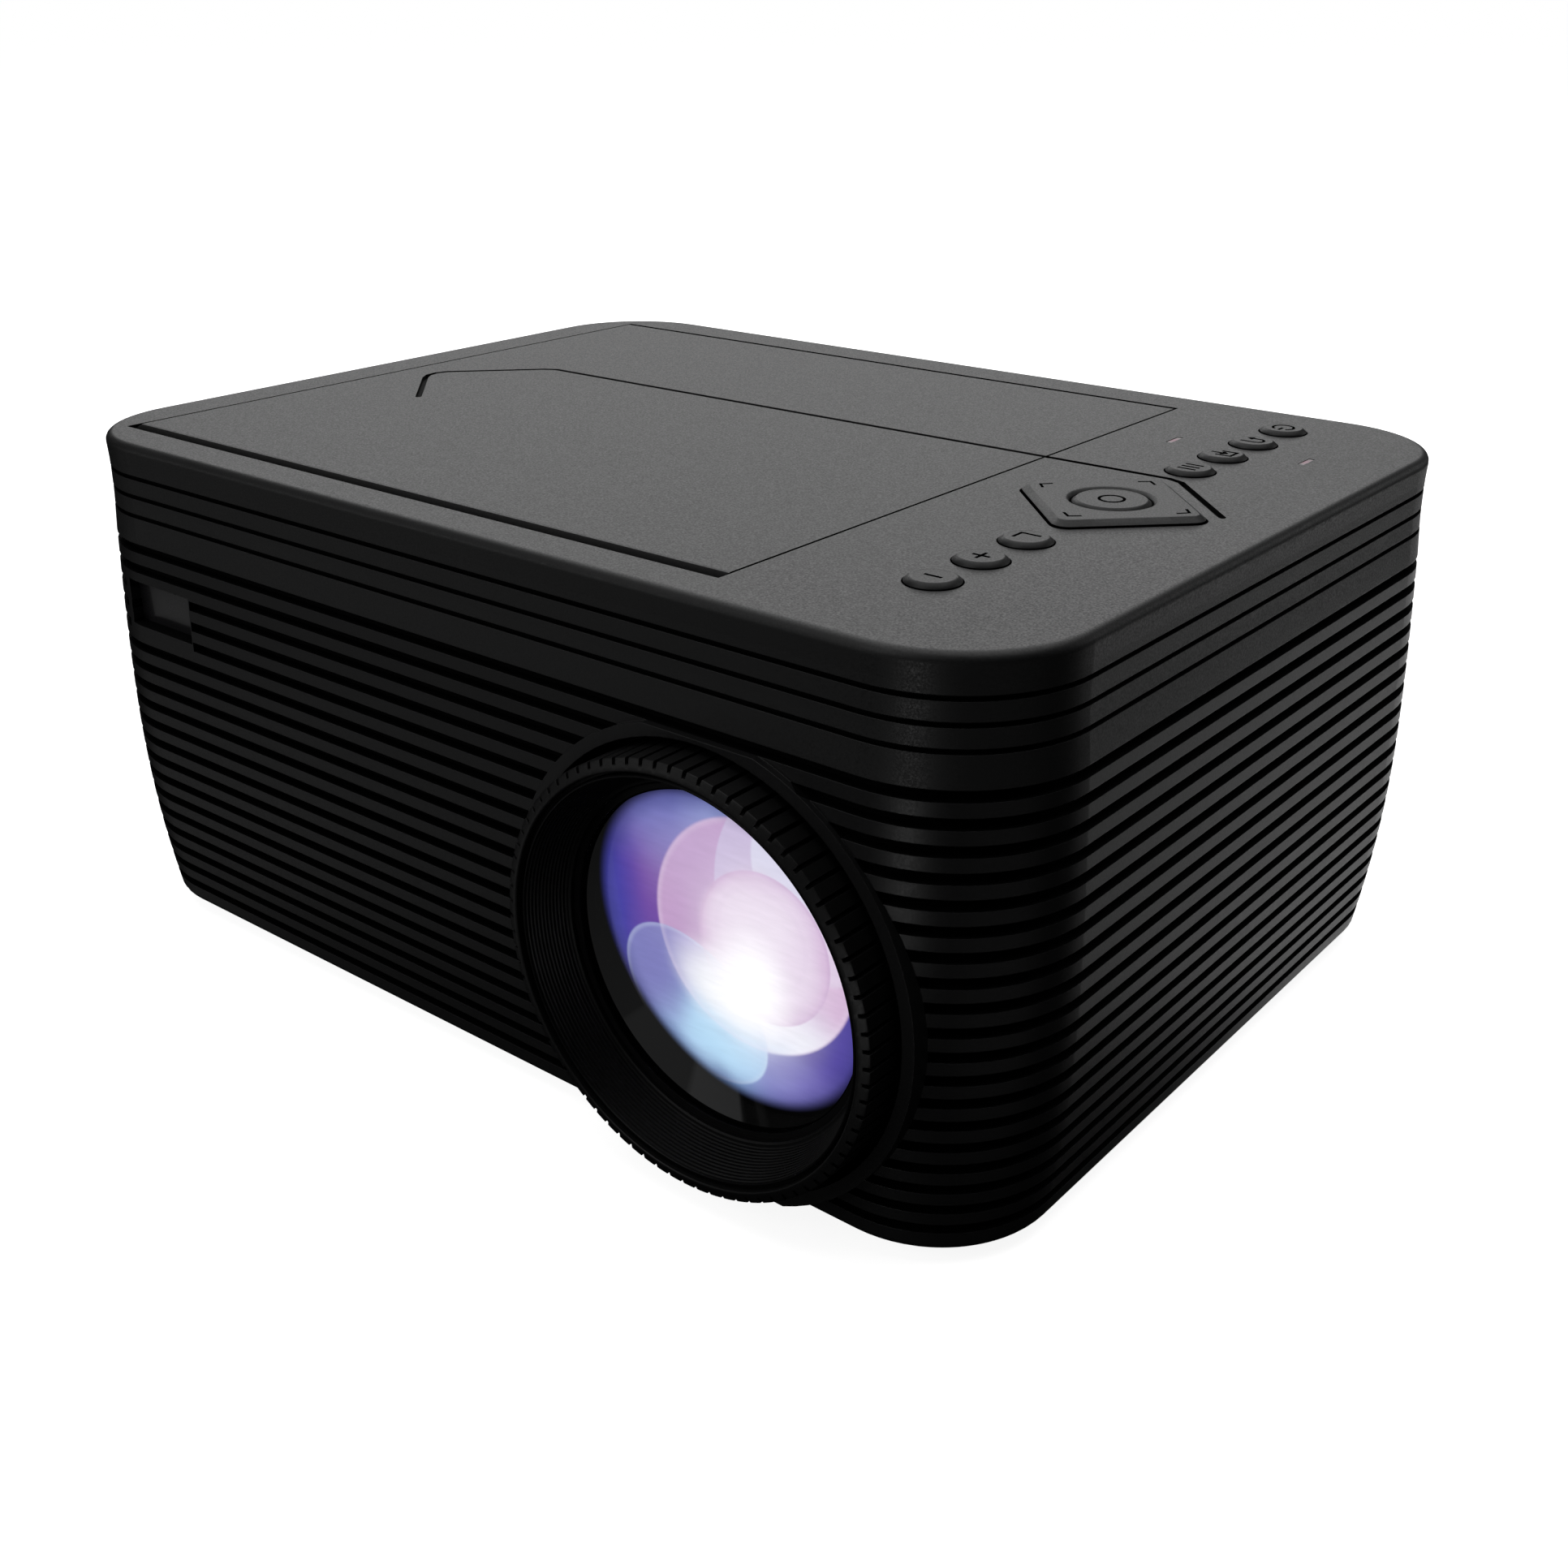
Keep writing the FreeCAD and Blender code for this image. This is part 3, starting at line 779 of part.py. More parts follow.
inlet = cut("inlet_cut", fuse("inlet_sum", box("inlet_body", (75.0, 93.0), (66.0, 89.0), (12.7, 27.3)), box("inlet_flange", (73.0, 95.0), (82.2, 84.2), (10.9, 29.1))),
            box("inlet_in", (76.4, 91.6), (70.0, 95), (15.2, 24.8)))
node(group("inlet_all", inlet, cyl("inlet_pin_a", (79.7, 70.0, 20.0), 1.2, 15.0, "y"), cyl("inlet_pin_b", (88.3, 70.0, 20.0), 1.2, 15.0, "y")), "mains_inlet")

# ---- infrared window ----------------------------------------------------------
node(fuse("ir_plate", box("ir_face", (-100.1, -77.9), (-87.6, -84.6), (68.3, 78.2)), box("ir_flange", (-101.4, -76.6), (-84.7, -83.9), (67.0, 79.5))), "ir_window")
node(fuse("ir_sum", box("ir_board", (-99, -79), (-80.0, -78.6), (66, 80)), box("ir_eye", (-92.5, -85.5), (-83.4, -79.9), (70.5, 76.5))), "ir_receiver")

# ---- underside ----------------------------------------------------------------
node(group("feet", *[fillet("foot_round%d" % i, cyl("foot%d" % i, (fx, fy, -3.0), 7.9, 3.6), Part.makeCylinder(1, 5), at_z(0), 0.8) for i, (fx, fy) in enumerate(FEET)]), "rubber_feet")
sleeve = cut("tripod_sleeve", cyl("tripod_out", (0, 44, 0.0), 4.6, 7.4), cyl("tripod_thread", (0, 44, -1.0), "Dims.tripod_rad", "Dims.tripod_len + 1"))
foot_nut = cut("foot_nut", cyl("foot_nut_out", (6, -70, 0.9), 4.3, 16.1), cyl("foot_nut_in", (6, -70, -1.0), 3.06, 30))
node(group("inserts", sleeve, foot_nut), "threaded_inserts")
node(fuse("tilt_foot_sum", cyl("tilt_pad", (6, -70, -2.6), 8.6, 2.6), cyl("tilt_stud", (6, -70, -0.2), 3.0, 24.0)), "tilt_foot")
screws = [fuse("screw%d" % i, cyl("screw_head%d" % i, (px, py, 72.4), 2.6, 2.6), cyl("screw_body%d" % i, (px, py, 74.9), 1.5, 14.0)) for i, (px, py) in enumerate(SCREWS)]
screws += [fuse("board_screw%d" % i, cyl("board_screw_head%d" % i, (x, y, 94.9), 2.2, 1.6), cyl("board_screw_body%d" % i, (x, y, 96.4), 1.2, 1.7)) for i, (x, y) in
           enumerate(((77.5, -66), (77.5, 76), (98, -66), (98, 76)))]
node(group("screws_all", *screws), "screws")

doc.recompute()

# ---- checks and export --------------------------------------------------------
problems = []
for obj in doc.Objects:
    if any(s in obj.State for s in ("Invalid", "Error")):
        problems.append("%s is in state %s" % (obj.Name, obj.State))
for obj in nodes:
    shape = obj.Shape
    if shape.isNull() or not shape.isValid() or not shape.Solids:
        problems.append("%s has no valid solid" % obj.Label)
if len(nodes) > 60 or len({o.Label for o in nodes}) != len(nodes):
    problems.append("node list is wrong: %d" % len(nodes))
if problems:
    raise RuntimeError("; ".join(problems))
os.makedirs("parts", exist_ok=True)
for obj in nodes:
    obj.Shape.exportStep("parts/%s.step" % obj.Label)
total = Part.makeCompound([o.Shape for o in nodes]).BoundBox
print("nodes %d, box %s" % (len(nodes), total))
for obj in nodes:
    print("%-20s solids %d volume %.0f" % (obj.Label, len(obj.Shape.Solids), obj.Shape.Volume))
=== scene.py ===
import bpy
import bmesh
import json
import math
import numpy as np
from mathutils import Matrix, Vector


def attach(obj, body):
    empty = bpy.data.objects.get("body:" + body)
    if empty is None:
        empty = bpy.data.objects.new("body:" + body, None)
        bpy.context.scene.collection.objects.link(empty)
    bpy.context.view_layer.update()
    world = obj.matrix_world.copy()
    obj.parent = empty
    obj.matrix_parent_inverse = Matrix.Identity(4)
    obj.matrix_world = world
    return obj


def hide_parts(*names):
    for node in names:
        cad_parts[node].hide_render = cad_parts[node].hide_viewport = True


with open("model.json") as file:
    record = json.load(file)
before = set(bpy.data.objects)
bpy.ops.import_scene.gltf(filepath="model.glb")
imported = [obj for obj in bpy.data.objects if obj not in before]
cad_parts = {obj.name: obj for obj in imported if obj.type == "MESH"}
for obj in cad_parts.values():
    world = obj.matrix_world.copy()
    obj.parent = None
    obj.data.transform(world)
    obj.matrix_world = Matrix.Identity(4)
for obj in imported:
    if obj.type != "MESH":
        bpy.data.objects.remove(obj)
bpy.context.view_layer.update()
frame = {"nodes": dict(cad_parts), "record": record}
NODES = frame["nodes"]

MM = 0.001
SY, SZ = 3.4, 3.0            # body centre to row frame, millimetres
W, D, H = 240.0, 178.5, 108.0


def at(x, y, z):
    """Body coordinates in millimetres to the row frame in metres."""
    return Vector((x * MM, (y + SY) * MM, (z + SZ) * MM))


# ---------------------------------------------------------------------------
# materials
# ---------------------------------------------------------------------------
class Mat:
    """A procedural material: a small wrapper that keeps the node code short."""

    def __init__(self, name):
        self.m = bpy.data.materials.new(name)
        self.m.use_nodes = True
        self.t = self.m.node_tree
        self.n = self.t.nodes
        self.p = self.n["Principled BSDF"]
        self.out = self.n["Material Output"]
        self.coord = self.n.new("ShaderNodeTexCoord").outputs["Object"]

    def link(self, a, b):
        self.t.links.new(a, b)

    def put(self, socket, value):
        s = self.p.inputs[socket]
        if hasattr(value, "links") or hasattr(value, "is_linked"):
            self.link(value, s)
        else:
            s.default_value = value

    def noise(self, scale, detail=2.0, rough=0.5, vector=None, distortion=0.0):
        n = self.n.new("ShaderNodeTexNoise")
        n.inputs["Scale"].default_value = scale
        n.inputs["Detail"].default_value = detail
        n.inputs["Roughness"].default_value = rough
        n.inputs["Distortion"].default_value = distortion
        self.link(vector or self.coord, n.inputs["Vector"])
        return n.outputs["Fac"]

    def voronoi(self, scale, vector=None, feature="F1"):
        n = self.n.new("ShaderNodeTexVoronoi")
        n.feature = feature
        n.inputs["Scale"].default_value = scale
        self.link(vector or self.coord, n.inputs["Vector"])
        return n.outputs["Distance"]

    def stretch(self, x, y, z, rot=(0, 0, 0), loc=(0, 0, 0)):
        n = self.n.new("ShaderNodeMapping")
        n.inputs["Scale"].default_value = (x, y, z)
        n.inputs["Rotation"].default_value = rot
        n.inputs["Location"].default_value = loc
        self.link(self.coord, n.inputs["Vector"])
        return n.outputs["Vector"]

    def ramp(self, fac, stops, mode="LINEAR"):
        n = self.n.new("ShaderNodeValToRGB")
        n.color_ramp.interpolation = mode
        e = n.color_ramp.elements
        while len(e) > 1:
            e.remove(e[-1])
        e[0].position, e[0].color = stops[0][0], self._rgba(stops[0][1])
        for pos, col in stops[1:]:
            k = e.new(pos)
            k.color = self._rgba(col)
        self.link(fac, n.inputs["Fac"])
        return n.outputs["Color"]

    @staticmethod
    def _rgba(c):
        if isinstance(c, (int, float)):
            return (c, c, c, 1.0)
        return tuple(c) + ((1.0,) if len(c) == 3 else ())

    def maths(self, op, a, b=None, clamp=False):
        n = self.n.new("ShaderNodeMath")
        n.operation = op
        n.use_clamp = clamp
        for i, v in enumerate((a, b)):
            if v is None:
                continue
            if isinstance(v, (int, float)):
                n.inputs[i].default_value = v
            else:
                self.link(v, n.inputs[i])
        return n.outputs[0]

    def mix(self, fac, a, b, blend="MIX"):
        n = self.n.new("ShaderNodeMix")
        n.data_type = "RGBA"
        n.blend_type = blend
        for key, v in ((0, fac), (6, a), (7, b)):
            if isinstance(v, (int, float)) and key == 0:
                n.inputs[key].default_value = v
            elif isinstance(v, (tuple, list)):
                n.inputs[key].default_value = self._rgba(v)
            else:
                self.link(v, n.inputs[key])
        return n.outputs[2]

    def bump(self, height, strength, distance, normal=None):
        n = self.n.new("ShaderNodeBump")
        n.inputs["Strength"].default_value = strength
        n.inputs["Distance"].default_value = distance
        self.link(height, n.inputs["Height"])
        if normal is not None:
            self.link(normal, n.inputs["Normal"])
        return n.outputs["Normal"]

    def round(self, radius, samples=6):
        n = self.n.new("ShaderNodeBevel")
        n.samples = samples
        n.inputs["Radius"].default_value = radius
        return n.outputs["Normal"]

    def edge(self, radius):
        """About 1 on rounded-over edges, 0 on flats."""
        b = self.round(radius, 4)
        g = self.n.new("ShaderNodeNewGeometry")
        d = self.n.new("ShaderNodeVectorMath")
        d.operation = "DOT_PRODUCT"
        self.link(b, d.inputs[0])
        self.link(g.outputs["Normal"], d.inputs[1])
        n = self.n.new("ShaderNodeMapRange")
        n.inputs["From Min"].default_value = 0.995
        n.inputs["From Max"].default_value = 0.80
        self.link(d.outputs["Value"], n.inputs["Value"])
        return n.outputs["Result"]


def moulded(name, color, rough, grain=0.35, grain_scale=3200.0, bevel=0.00018, spec=0.5, wear=0.25, cloud=0.05, speckle=0.04, pitted=True):
    """Moulded plastic: spark-eroded grain, slight cloudiness, edges worn a touch smoother and lighter."""
    m = Mat(name)
    fine = m.noise(grain_scale, 2.0, 0.6)
    pits = m.voronoi(grain_scale * 0.55)
    big = m.noise(28.0, 4.0, 0.55)
    mid = m.noise(420.0, 3.0, 0.6)
    lo = tuple(c * (1.0 - cloud) for c in color)
    hi = tuple(c * (1.0 + cloud) for c in color)
    col = m.mix(big, lo, hi)
    speck = m.ramp(fine, [(0.30, 0.82), (0.70, 1.18)])
    col = m.mix(0.75, col, speck, "MULTIPLY")
    if wear:
        e = m.edge(max(bevel * 1.6, 0.0002))
        e = m.maths("MULTIPLY", e, m.ramp(mid, [(0.35, 0.25), (0.65, 1.0)]))
        col = m.mix(m.maths("MULTIPLY", e, wear, True), col, tuple(min(1.0, c * 1.7 + 0.02) for c in color))
    m.put("Base Color", col)
    m.put("Roughness", m.ramp(m.noise(grain_scale * 0.7, 1.0, 0.5), [(0.30, rough - speckle), (0.70, rough + speckle)]))
    m.p.inputs["Specular IOR Level"].default_value = spec
    n = m.round(bevel) if bevel else None
    if pitted:
        n = m.bump(pits, grain * 0.4, 0.00002, n)
    n = m.bump(fine, grain, 0.00002, n)
    m.put("Normal", n)
    return m.m


def metal(name, color, rough, kind="turned", bevel=0.0001):
    m = Mat(name)
    if kind == "brushed":
        line = m.noise(900.0, 3.0, 0.6, m.stretch(1.0, 30.0, 1.0))
    elif kind == "zinc":
        line = m.noise(240.0, 5.0, 0.7, distortion=1.5)
    else:
        line = m.noise(2600.0, 2.0, 0.5, m.stretch(1.0, 1.0, 0.06))
    spot = m.noise(60.0, 4.0, 0.6)
    m.put("Base Color", m.mix(spot, tuple(c * 0.82 for c in color), tuple(min(1, c * 1.08) for c in color)))
    m.p.inputs["Metallic"].default_value = 1.0
    m.put("Roughness", m.ramp(line, [(0.3, rough - 0.08), (0.7, rough + 0.10)]))
    m.put("Normal", m.bump(line, 0.12, 0.00002, m.round(bevel)))
    return m.m


BLACK = moulded("black_shell", (0.0140, 0.0140, 0.0145), 0.40, grain=0.30, spec=0.42, wear=0.12)
CHARCOAL = moulded("black_top", (0.0150, 0.0152, 0.0155), 0.48, grain=0.10, grain_scale=4200.0, spec=0.5, wear=0.08, speckle=0.10, pitted=False)
KEY = moulded("key_satin", (0.0155, 0.0157, 0.0160), 0.48, grain=0.08, grain_scale=4200.0, spec=0.5, wear=0.0, bevel=0.0, speckle=0.09, pitted=False)
# near-black finish: painted shade in the grooves and wells, and the front glass's blackened rim
SHADE_AND_RIM_BLACK = moulded("groove_shade_and_lens_rim_black", (0.0022, 0.0022, 0.0023), 0.75, grain=0.2, spec=0.08, wear=0.0, bevel=0.0)
# black for the printed key marks, and painted shade on the keys' upright sides
MARK_AND_GAP_SHADE = moulded("key_mark_and_gap_shade_black", (0.0022, 0.0022, 0.0023), 0.70, grain=0.2, spec=0.0, wear=0.0, bevel=0.0)
DECK = moulded("deck_satin", (0.016, 0.016, 0.017), 0.34, grain=0.12, spec=0.5, wear=0.15)
LENSBLACK = moulded("lens_satin", (0.0070, 0.0070, 0.0074), 0.42, grain=0.18, spec=0.34, wear=0.16)
RUBBER = moulded("rubber_matt", (0.016, 0.016, 0.016), 0.82, grain=0.5, grain_scale=1500.0, spec=0.3, wear=0.0)
SOCKET = moulded("socket_black", (0.014, 0.014, 0.014), 0.40, grain=0.15, wear=0.1)
WHITE = moulded("white_nylon", (0.62, 0.62, 0.60), 0.42, grain=0.15, wear=0.0, spec=0.5)
STEEL = metal("steel_bright", (0.56, 0.56, 0.57), 0.26)
SHEET = metal("steel_zinc", (0.48, 0.49, 0.50), 0.38, "zinc")
BRASS = metal("brass_turned", (0.78, 0.58, 0.28), 0.28)
ALU = metal("aluminium_extruded", (0.72, 0.73, 0.74), 0.34, "brushed")


def circuit_board():
    m = Mat("board_lacquer")
    tracks = m.voronoi(260.0, m.stretch(1.0, 1.0, 0.2), "DISTANCE_TO_EDGE")
    m.put("Base Color", m.mix(m.ramp(tracks, [(0.02, 1.0), (0.05, 0.0)]), (0.015, 0.12, 0.045), (0.05, 0.26, 0.10)))
    m.p.inputs["Roughness"].default_value = 0.3
    m.put("Normal", m.bump(tracks, 0.2, 0.00003))
    return m.m


def glass(name, tint, rough=0.0, ior=1.5):
    m = Mat(name)
    smear = m.noise(45.0, 3.0, 0.6)
    m.put("Base Color", m.mix(smear, tuple(c * 0.97 for c in tint), tint))
    m.p.inputs["Transmission Weight"].default_value = 1.0
    m.p.inputs["IOR"].default_value = ior
    m.put("Roughness", m.ramp(smear, [(0.3, rough), (0.8, rough + 0.015)]))
    return m.m


def gloss(name, color, rough, coat=0.4):
    m = Mat(name)
    haze = m.noise(90.0, 4.0, 0.6)
    m.put("Base Color", m.mix(haze, tuple(c * 0.9 for c in color), tuple(c * 1.1 for c in color)))
    m.put("Roughness", m.ramp(haze, [(0.3, rough), (0.7, rough + 0.06)]))
    m.p.inputs["Coat Weight"].default_value = coat
    m.p.inputs["Coat Roughness"].default_value = 0.08
    m.put("Normal", m.bump(haze, 0.05, 0.00004, m.round(0.0002)))
    return m.m


BOARD = circuit_board()
LENSGLASS = glass("lens_coated_glass", (0.93, 0.95, 1.0))
OPTIC = glass("clear_optic", (0.95, 0.97, 0.98))
LCD = gloss("lcd_panel_dark", (0.03, 0.035, 0.05), 0.12, 0.6)
def light_pipe():
    """Milky indicator windows, pinker in the middle where the lamp behind shows."""
    m = Mat("light_pipe_milky")
    d = m.n.new("ShaderNodeVectorMath")
    d.operation = "DISTANCE"
    one = m.stretch(0.0, 1000.0, 0.0)
    m.link(one, d.inputs[0])
    d.inputs[1].default_value = (0.0, 50.25 + SY, 0.0)
    haze = m.noise(700.0, 2.0, 0.5)
    col = m.mix(m.ramp(m.maths("MULTIPLY", d.outputs["Value"], 0.4), [(0.0, 1.0), (0.9, 0.0)]), (0.36, 0.325, 0.335), (0.48, 0.26, 0.32))
    m.put("Base Color", m.mix(0.2, col, m.ramp(haze, [(0.3, 0.85), (0.7, 1.0)]), "MULTIPLY"))
    m.p.inputs["Roughness"].default_value = 0.5
    return m.m


PIPE = light_pipe()
IRDARK = gloss("ir_window_gloss", (0.020, 0.019, 0.021), 0.26, 0.25)
MIRROR = metal("front_surface_mirror", (0.86, 0.88, 0.89), 0.12, "zinc")

BY_SLOT = {
    "black_plastic": BLACK, "lid_plastic": CHARCOAL, "key_plastic": KEY, "deck_plastic": DECK,
    "lens_plastic": LENSBLACK, "lens_glass": LENSGLASS, "steel": STEEL, "steel_sheet": SHEET,
    "brass_part": BRASS, "rubber_black": RUBBER, "white_plastic": WHITE, "circuit_board": BOARD,
    "aluminium_part": ALU, "mirror_glass": MIRROR, "clear_optic": OPTIC, "lcd_glass": LCD,
    "light_pipe": PIPE, "ir_plastic": IRDARK, "socket_plastic": SOCKET,
}


def smooth(o, angle=28.0):
    """Smooth shading with creases kept."""
    me = o.data
    me.shade_smooth() if hasattr(me, "shade_smooth") else None
    bm = bmesh.new()
    bm.from_mesh(me)
    lim = math.radians(angle)
    for e in bm.edges:
        if len(e.link_faces) == 2:
            e.smooth = e.calc_face_angle(0.0) < lim
    bm.to_mesh(me)
    bm.free()


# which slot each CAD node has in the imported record
slot_of = {}
for row in frame["record"].get("materials", []):
    for n in row.get("nodes", []):
        slot_of[n] = row["slot"]
for name, o in NODES.items():
    have = [s.material.name.split(".")[0] for s in o.material_slots if s.material]
    key = slot_of.get(name) or (have[0] if have else None)
    mat = BY_SLOT.get(key)
    if mat is None:
        print("no finish for", name, have)
        mat = BLACK
    o.data.materials.clear()
    o.data.materials.append(mat)
    for poly in o.data.polygons:
        poly.material_index = 0
NODES["top_cover"].data.materials[0] = CHARCOAL

# painted shade: faces inside the grooves, seams and key wells get a second, darker finish that stands in for the shadow
# in them
SAG = ((0.0, 1.7), (5.0, 0.9), (17.0, -0.6), (30.0, -1.6), (44.0, -2.0), (64.0, -1.6), (87.0, -0.5), (95.0, 0.1), (103.0, 0.25), (108.0, 0.0))
GROOVES = [(H - 7.0 - 4.15 * i, 0.9) for i in range(3)] + [(H - 22.3 - 4.47 * i, 2.0) for i in range(19)]


def inset(x, y):
    """How far inside the rim's outline a point is."""
    qx, qy = abs(x) - (W / 2 - 25.0), abs(y) - (D / 2 - 25.0)
    return 25.0 - math.hypot(max(qx, 0.0), max(qy, 0.0)) - min(max(qx, qy), 0.0)


def sag(z):
    return float(np.interp(z, [a for a, _ in SAG], [b for _, b in SAG]))


def darken(name, test):
    o = NODES[name]
    o.data.materials.append(SHADE_AND_RIM_BLACK)
    mw = o.matrix_world
    turn = mw.to_3x3()
    hits = 0
    for poly in o.data.polygons:
        c = mw @ poly.center
        n = (turn @ poly.normal).normalized()
        if test(c.x / MM, c.y / MM - SY, c.z / MM - SZ, n):
            poly.material_index = 1
            hits += 1
    print("painted shade faces", name, hits, len(o.data.polygons))


def in_groove(x, y, z, n):
    if abs(x - 64.1) < 46 and y < -60 and math.hypot(x - 64.1, z - 41.9) < 42.25 and abs(n.y) < 0.5:
        return True
    d = inset(x, y) - sag(z)
    return 0.15 < d < 2.75 and any(abs(z - c) <= g / 2 + 0.03 for c, g in GROOVES)


def in_cover(x, y, z, n):
    if in_groove(x, y, z, n):
        return True
    return inset(x, y) > 3.0 and z < 107.93 and n.z > -0.5


def in_lid(x, y, z, n):
    if abs(n.z) > 0.7:
        return z > 106.5 and z < 107.93 and n.z > 0
    return z > 105.0 and n.y > -0.3


# painted shade on the faces inside grooves, key wells, the lens hole and the lid's edges
darken("bottom_housing", in_groove)
darken("top_cover", in_cover)
darken("dvd_lid", in_lid)

# ---------------------------------------------------------------------------
# floor, light, camera
# ---------------------------------------------------------------------------
def plane(name, size, at_, rot=(0, 0, 0)):
    bpy.ops.mesh.primitive_plane_add(size=size, location=at_, rotation=rot)
    o = bpy.context.active_object
    o.name = name
    return o


floor = plane("studio_floor", 80.0, (0, 0, 0))
fm = Mat("studio_floor_pale")
fm.put("Base Color", fm.mix(fm.noise(3.0, 2.0), (0.90, 0.90, 0.90), (0.92, 0.92, 0.92)))
fm.p.inputs["Roughness"].default_value = 0.8
fm.p.inputs["Specular IOR Level"].default_value = 0.05
fm.p.inputs["Emission Color"].default_value = (1.0, 1.0, 1.0, 1.0)
far = fm.n.new("ShaderNodeVectorMath")
far.operation = "LENGTH"
fm.link(fm.coord, far.inputs[0])
lift = fm.n.new("ShaderNodeMapRange")
lift.interpolation_type = "SMOOTHSTEP"
for key, value in (("From Min", 0.25), ("From Max", 1.1), ("To Min", 0.90), ("To Max", 1.0)):
    lift.inputs[key].default_value = value
fm.link(far.outputs["Value"], lift.inputs["Value"])
fm.link(lift.outputs["Result"], fm.p.inputs["Emission Strength"])
floor.data.materials.append(fm.m)
floor.visible_glossy = False
floor.visible_diffuse = False
floor.visible_shadow = False

scene = bpy.context.scene
scene.view_settings.view_transform = "Standard"
world = bpy.data.worlds.new("studio_world")
scene.world = world
world.use_nodes = True
world.node_tree.nodes["Background"].inputs["Color"].default_value = (1.0, 1.0, 1.0, 1.0)
world.node_tree.nodes["Background"].inputs["Strength"].default_value = 1.0
world.cycles_visibility.diffuse = False
world.cycles_visibility.glossy = False
world.cycles_visibility.transmission = False


def softbox(name, loc, target, size, radiance, color=(1, 1, 1)):
    """An area light; radiance is what it looks like in a mirror, so brightness doesn't depend on its size."""
    data = bpy.data.lights.new(name, "AREA")
    data.shape = "RECTANGLE"
    data.size, data.size_y = size
    data.energy = radiance * size[0] * size[1] * math.pi
    data.color = color
    o = bpy.data.objects.new(name, data)
    scene.collection.objects.link(o)
    o.location = loc
    d = Vector(target) - Vector(loc)
    o.rotation_euler = d.to_track_quat("-Z", "Y").to_euler()
    return o


def around(az, el, dist, centre=(0.0, 0.0, 0.06)):
    """A point at that azimuth (0 is +X, 90 is +Y), elevation and distance."""
    a, e = math.radians(az), math.radians(el)
    return (centre[0] + dist * math.cos(e) * math.cos(a), centre[1] + dist * math.cos(e) * math.sin(a), centre[2] + dist * math.sin(e))


MID = (0.0, 0.0, 0.06)
softbox("softbox_overhead", (-0.15, 0.25, 1.6), MID, (2.4, 2.0), 1.03)
softbox("softbox_back", around(129, 30, 1.7), MID, (1.8, 1.1), 1.42)
softbox("softbox_right", around(58, 14, 1.5), MID, (0.9, 0.5), 0.6)
softbox("table_bounce_right", around(82, -23, 1.2, (0.1, 0.0, 0.05)), (0.1, 0.0, 0.05), (0.75, 0.55), 0.90)
softbox("table_bounce_corner", around(-84, -20, 1.0, (0.1, -0.07, 0.08)), (0.1, -0.07, 0.08), (0.12, 0.20), 6.0)
softbox("table_bounce_front", around(-18, -26, 1.2, (0.1, -0.05, 0.05)), (0.1, -0.05, 0.05), (1.1, 0.5), 0.13)
softbox("table_bounce_left", around(-146, -24, 1.2), MID, (0.6, 0.4), 0.22)
softbox("softbox_front", around(-110, 35, 1.8), MID, (1.2, 0.9), 0.9)
softbox("softbox_low_left", around(-130, 5, 1.3), MID, (0.6, 0.22), 1.3)

cam = bpy.data.cameras.new("camera")
cam.lens = 40.70
cam.sensor_width = 36.0
cam.clip_start, cam.clip_end = 0.02, 50.0
camera = bpy.data.objects.new("camera", cam)
bpy.context.scene.collection.objects.link(camera)
camera.matrix_world = Matrix((
    (0.7780977, -0.2607177, 0.5714808, 0.2394),
    (0.6281431, 0.3236281, -0.7076023, -0.2823),
    (-0.0004628, 0.9095555, 0.4155823, 0.1994),
    (0, 0, 0, 1)))
bpy.context.scene.camera = camera


# ---------------------------------------------------------------------------
# mesh helpers
# ---------------------------------------------------------------------------
LX, LZ = 64.1, 41.9


def make(name, verts, faces, mat, body, slot=None, replaces=(), sharp=35.0, face_mats=None):
    """A mesh piece from body coordinates in millimetres."""
    me = bpy.data.meshes.new(name)
    me.from_pydata([tuple(at(*v)) for v in verts], [], faces)
    if face_mats is not None:
        me.polygons.foreach_set("material_index", np.array(face_mats, dtype=np.int32))
    me.validate()
    bm = bmesh.new()
    bm.from_mesh(me)
    bmesh.ops.remove_doubles(bm, verts=bm.verts, dist=1e-7)
    bmesh.ops.recalc_face_normals(bm, faces=bm.faces)
    lim = math.radians(sharp)
    for f in bm.faces:
        f.smooth = True
    for e in bm.edges:
        e.smooth = not (len(e.link_faces) == 2 and e.calc_face_angle(0.0) > lim)
    bm.to_mesh(me)
    bm.free()
    for one in (mat if isinstance(mat, (list, tuple)) else (mat,)):
        me.materials.append(one)
    o = bpy.data.objects.new(name, me)
    scene.collection.objects.link(o)
    even = o.modifiers.new("flat_faces_lead", "WEIGHTED_NORMAL")
    even.keep_sharp = True
    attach(o, body)
    if replaces:
        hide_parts(*replaces)
    return o


def turned(name, profile, mat, body, n=256, axis=(LX, LZ), **kw):
    """Revolves a closed (radius, y) outline about the lens axis."""
    verts, faces = [], []
    m = len(profile)
    for i in range(n):
        a = 2 * math.pi * i / n
        c, s_ = math.cos(a), math.sin(a)
        verts += [(axis[0] + r * c, y, axis[1] + r * s_) for r, y in profile]
    for i in range(n):
        k = (i + 1) % n
        for j in range(m):
            q = (j + 1) % m
            faces.append((i * m + j, i * m + q, k * m + q, k * m + j))
    return make(name, verts, faces, mat, body, **kw)


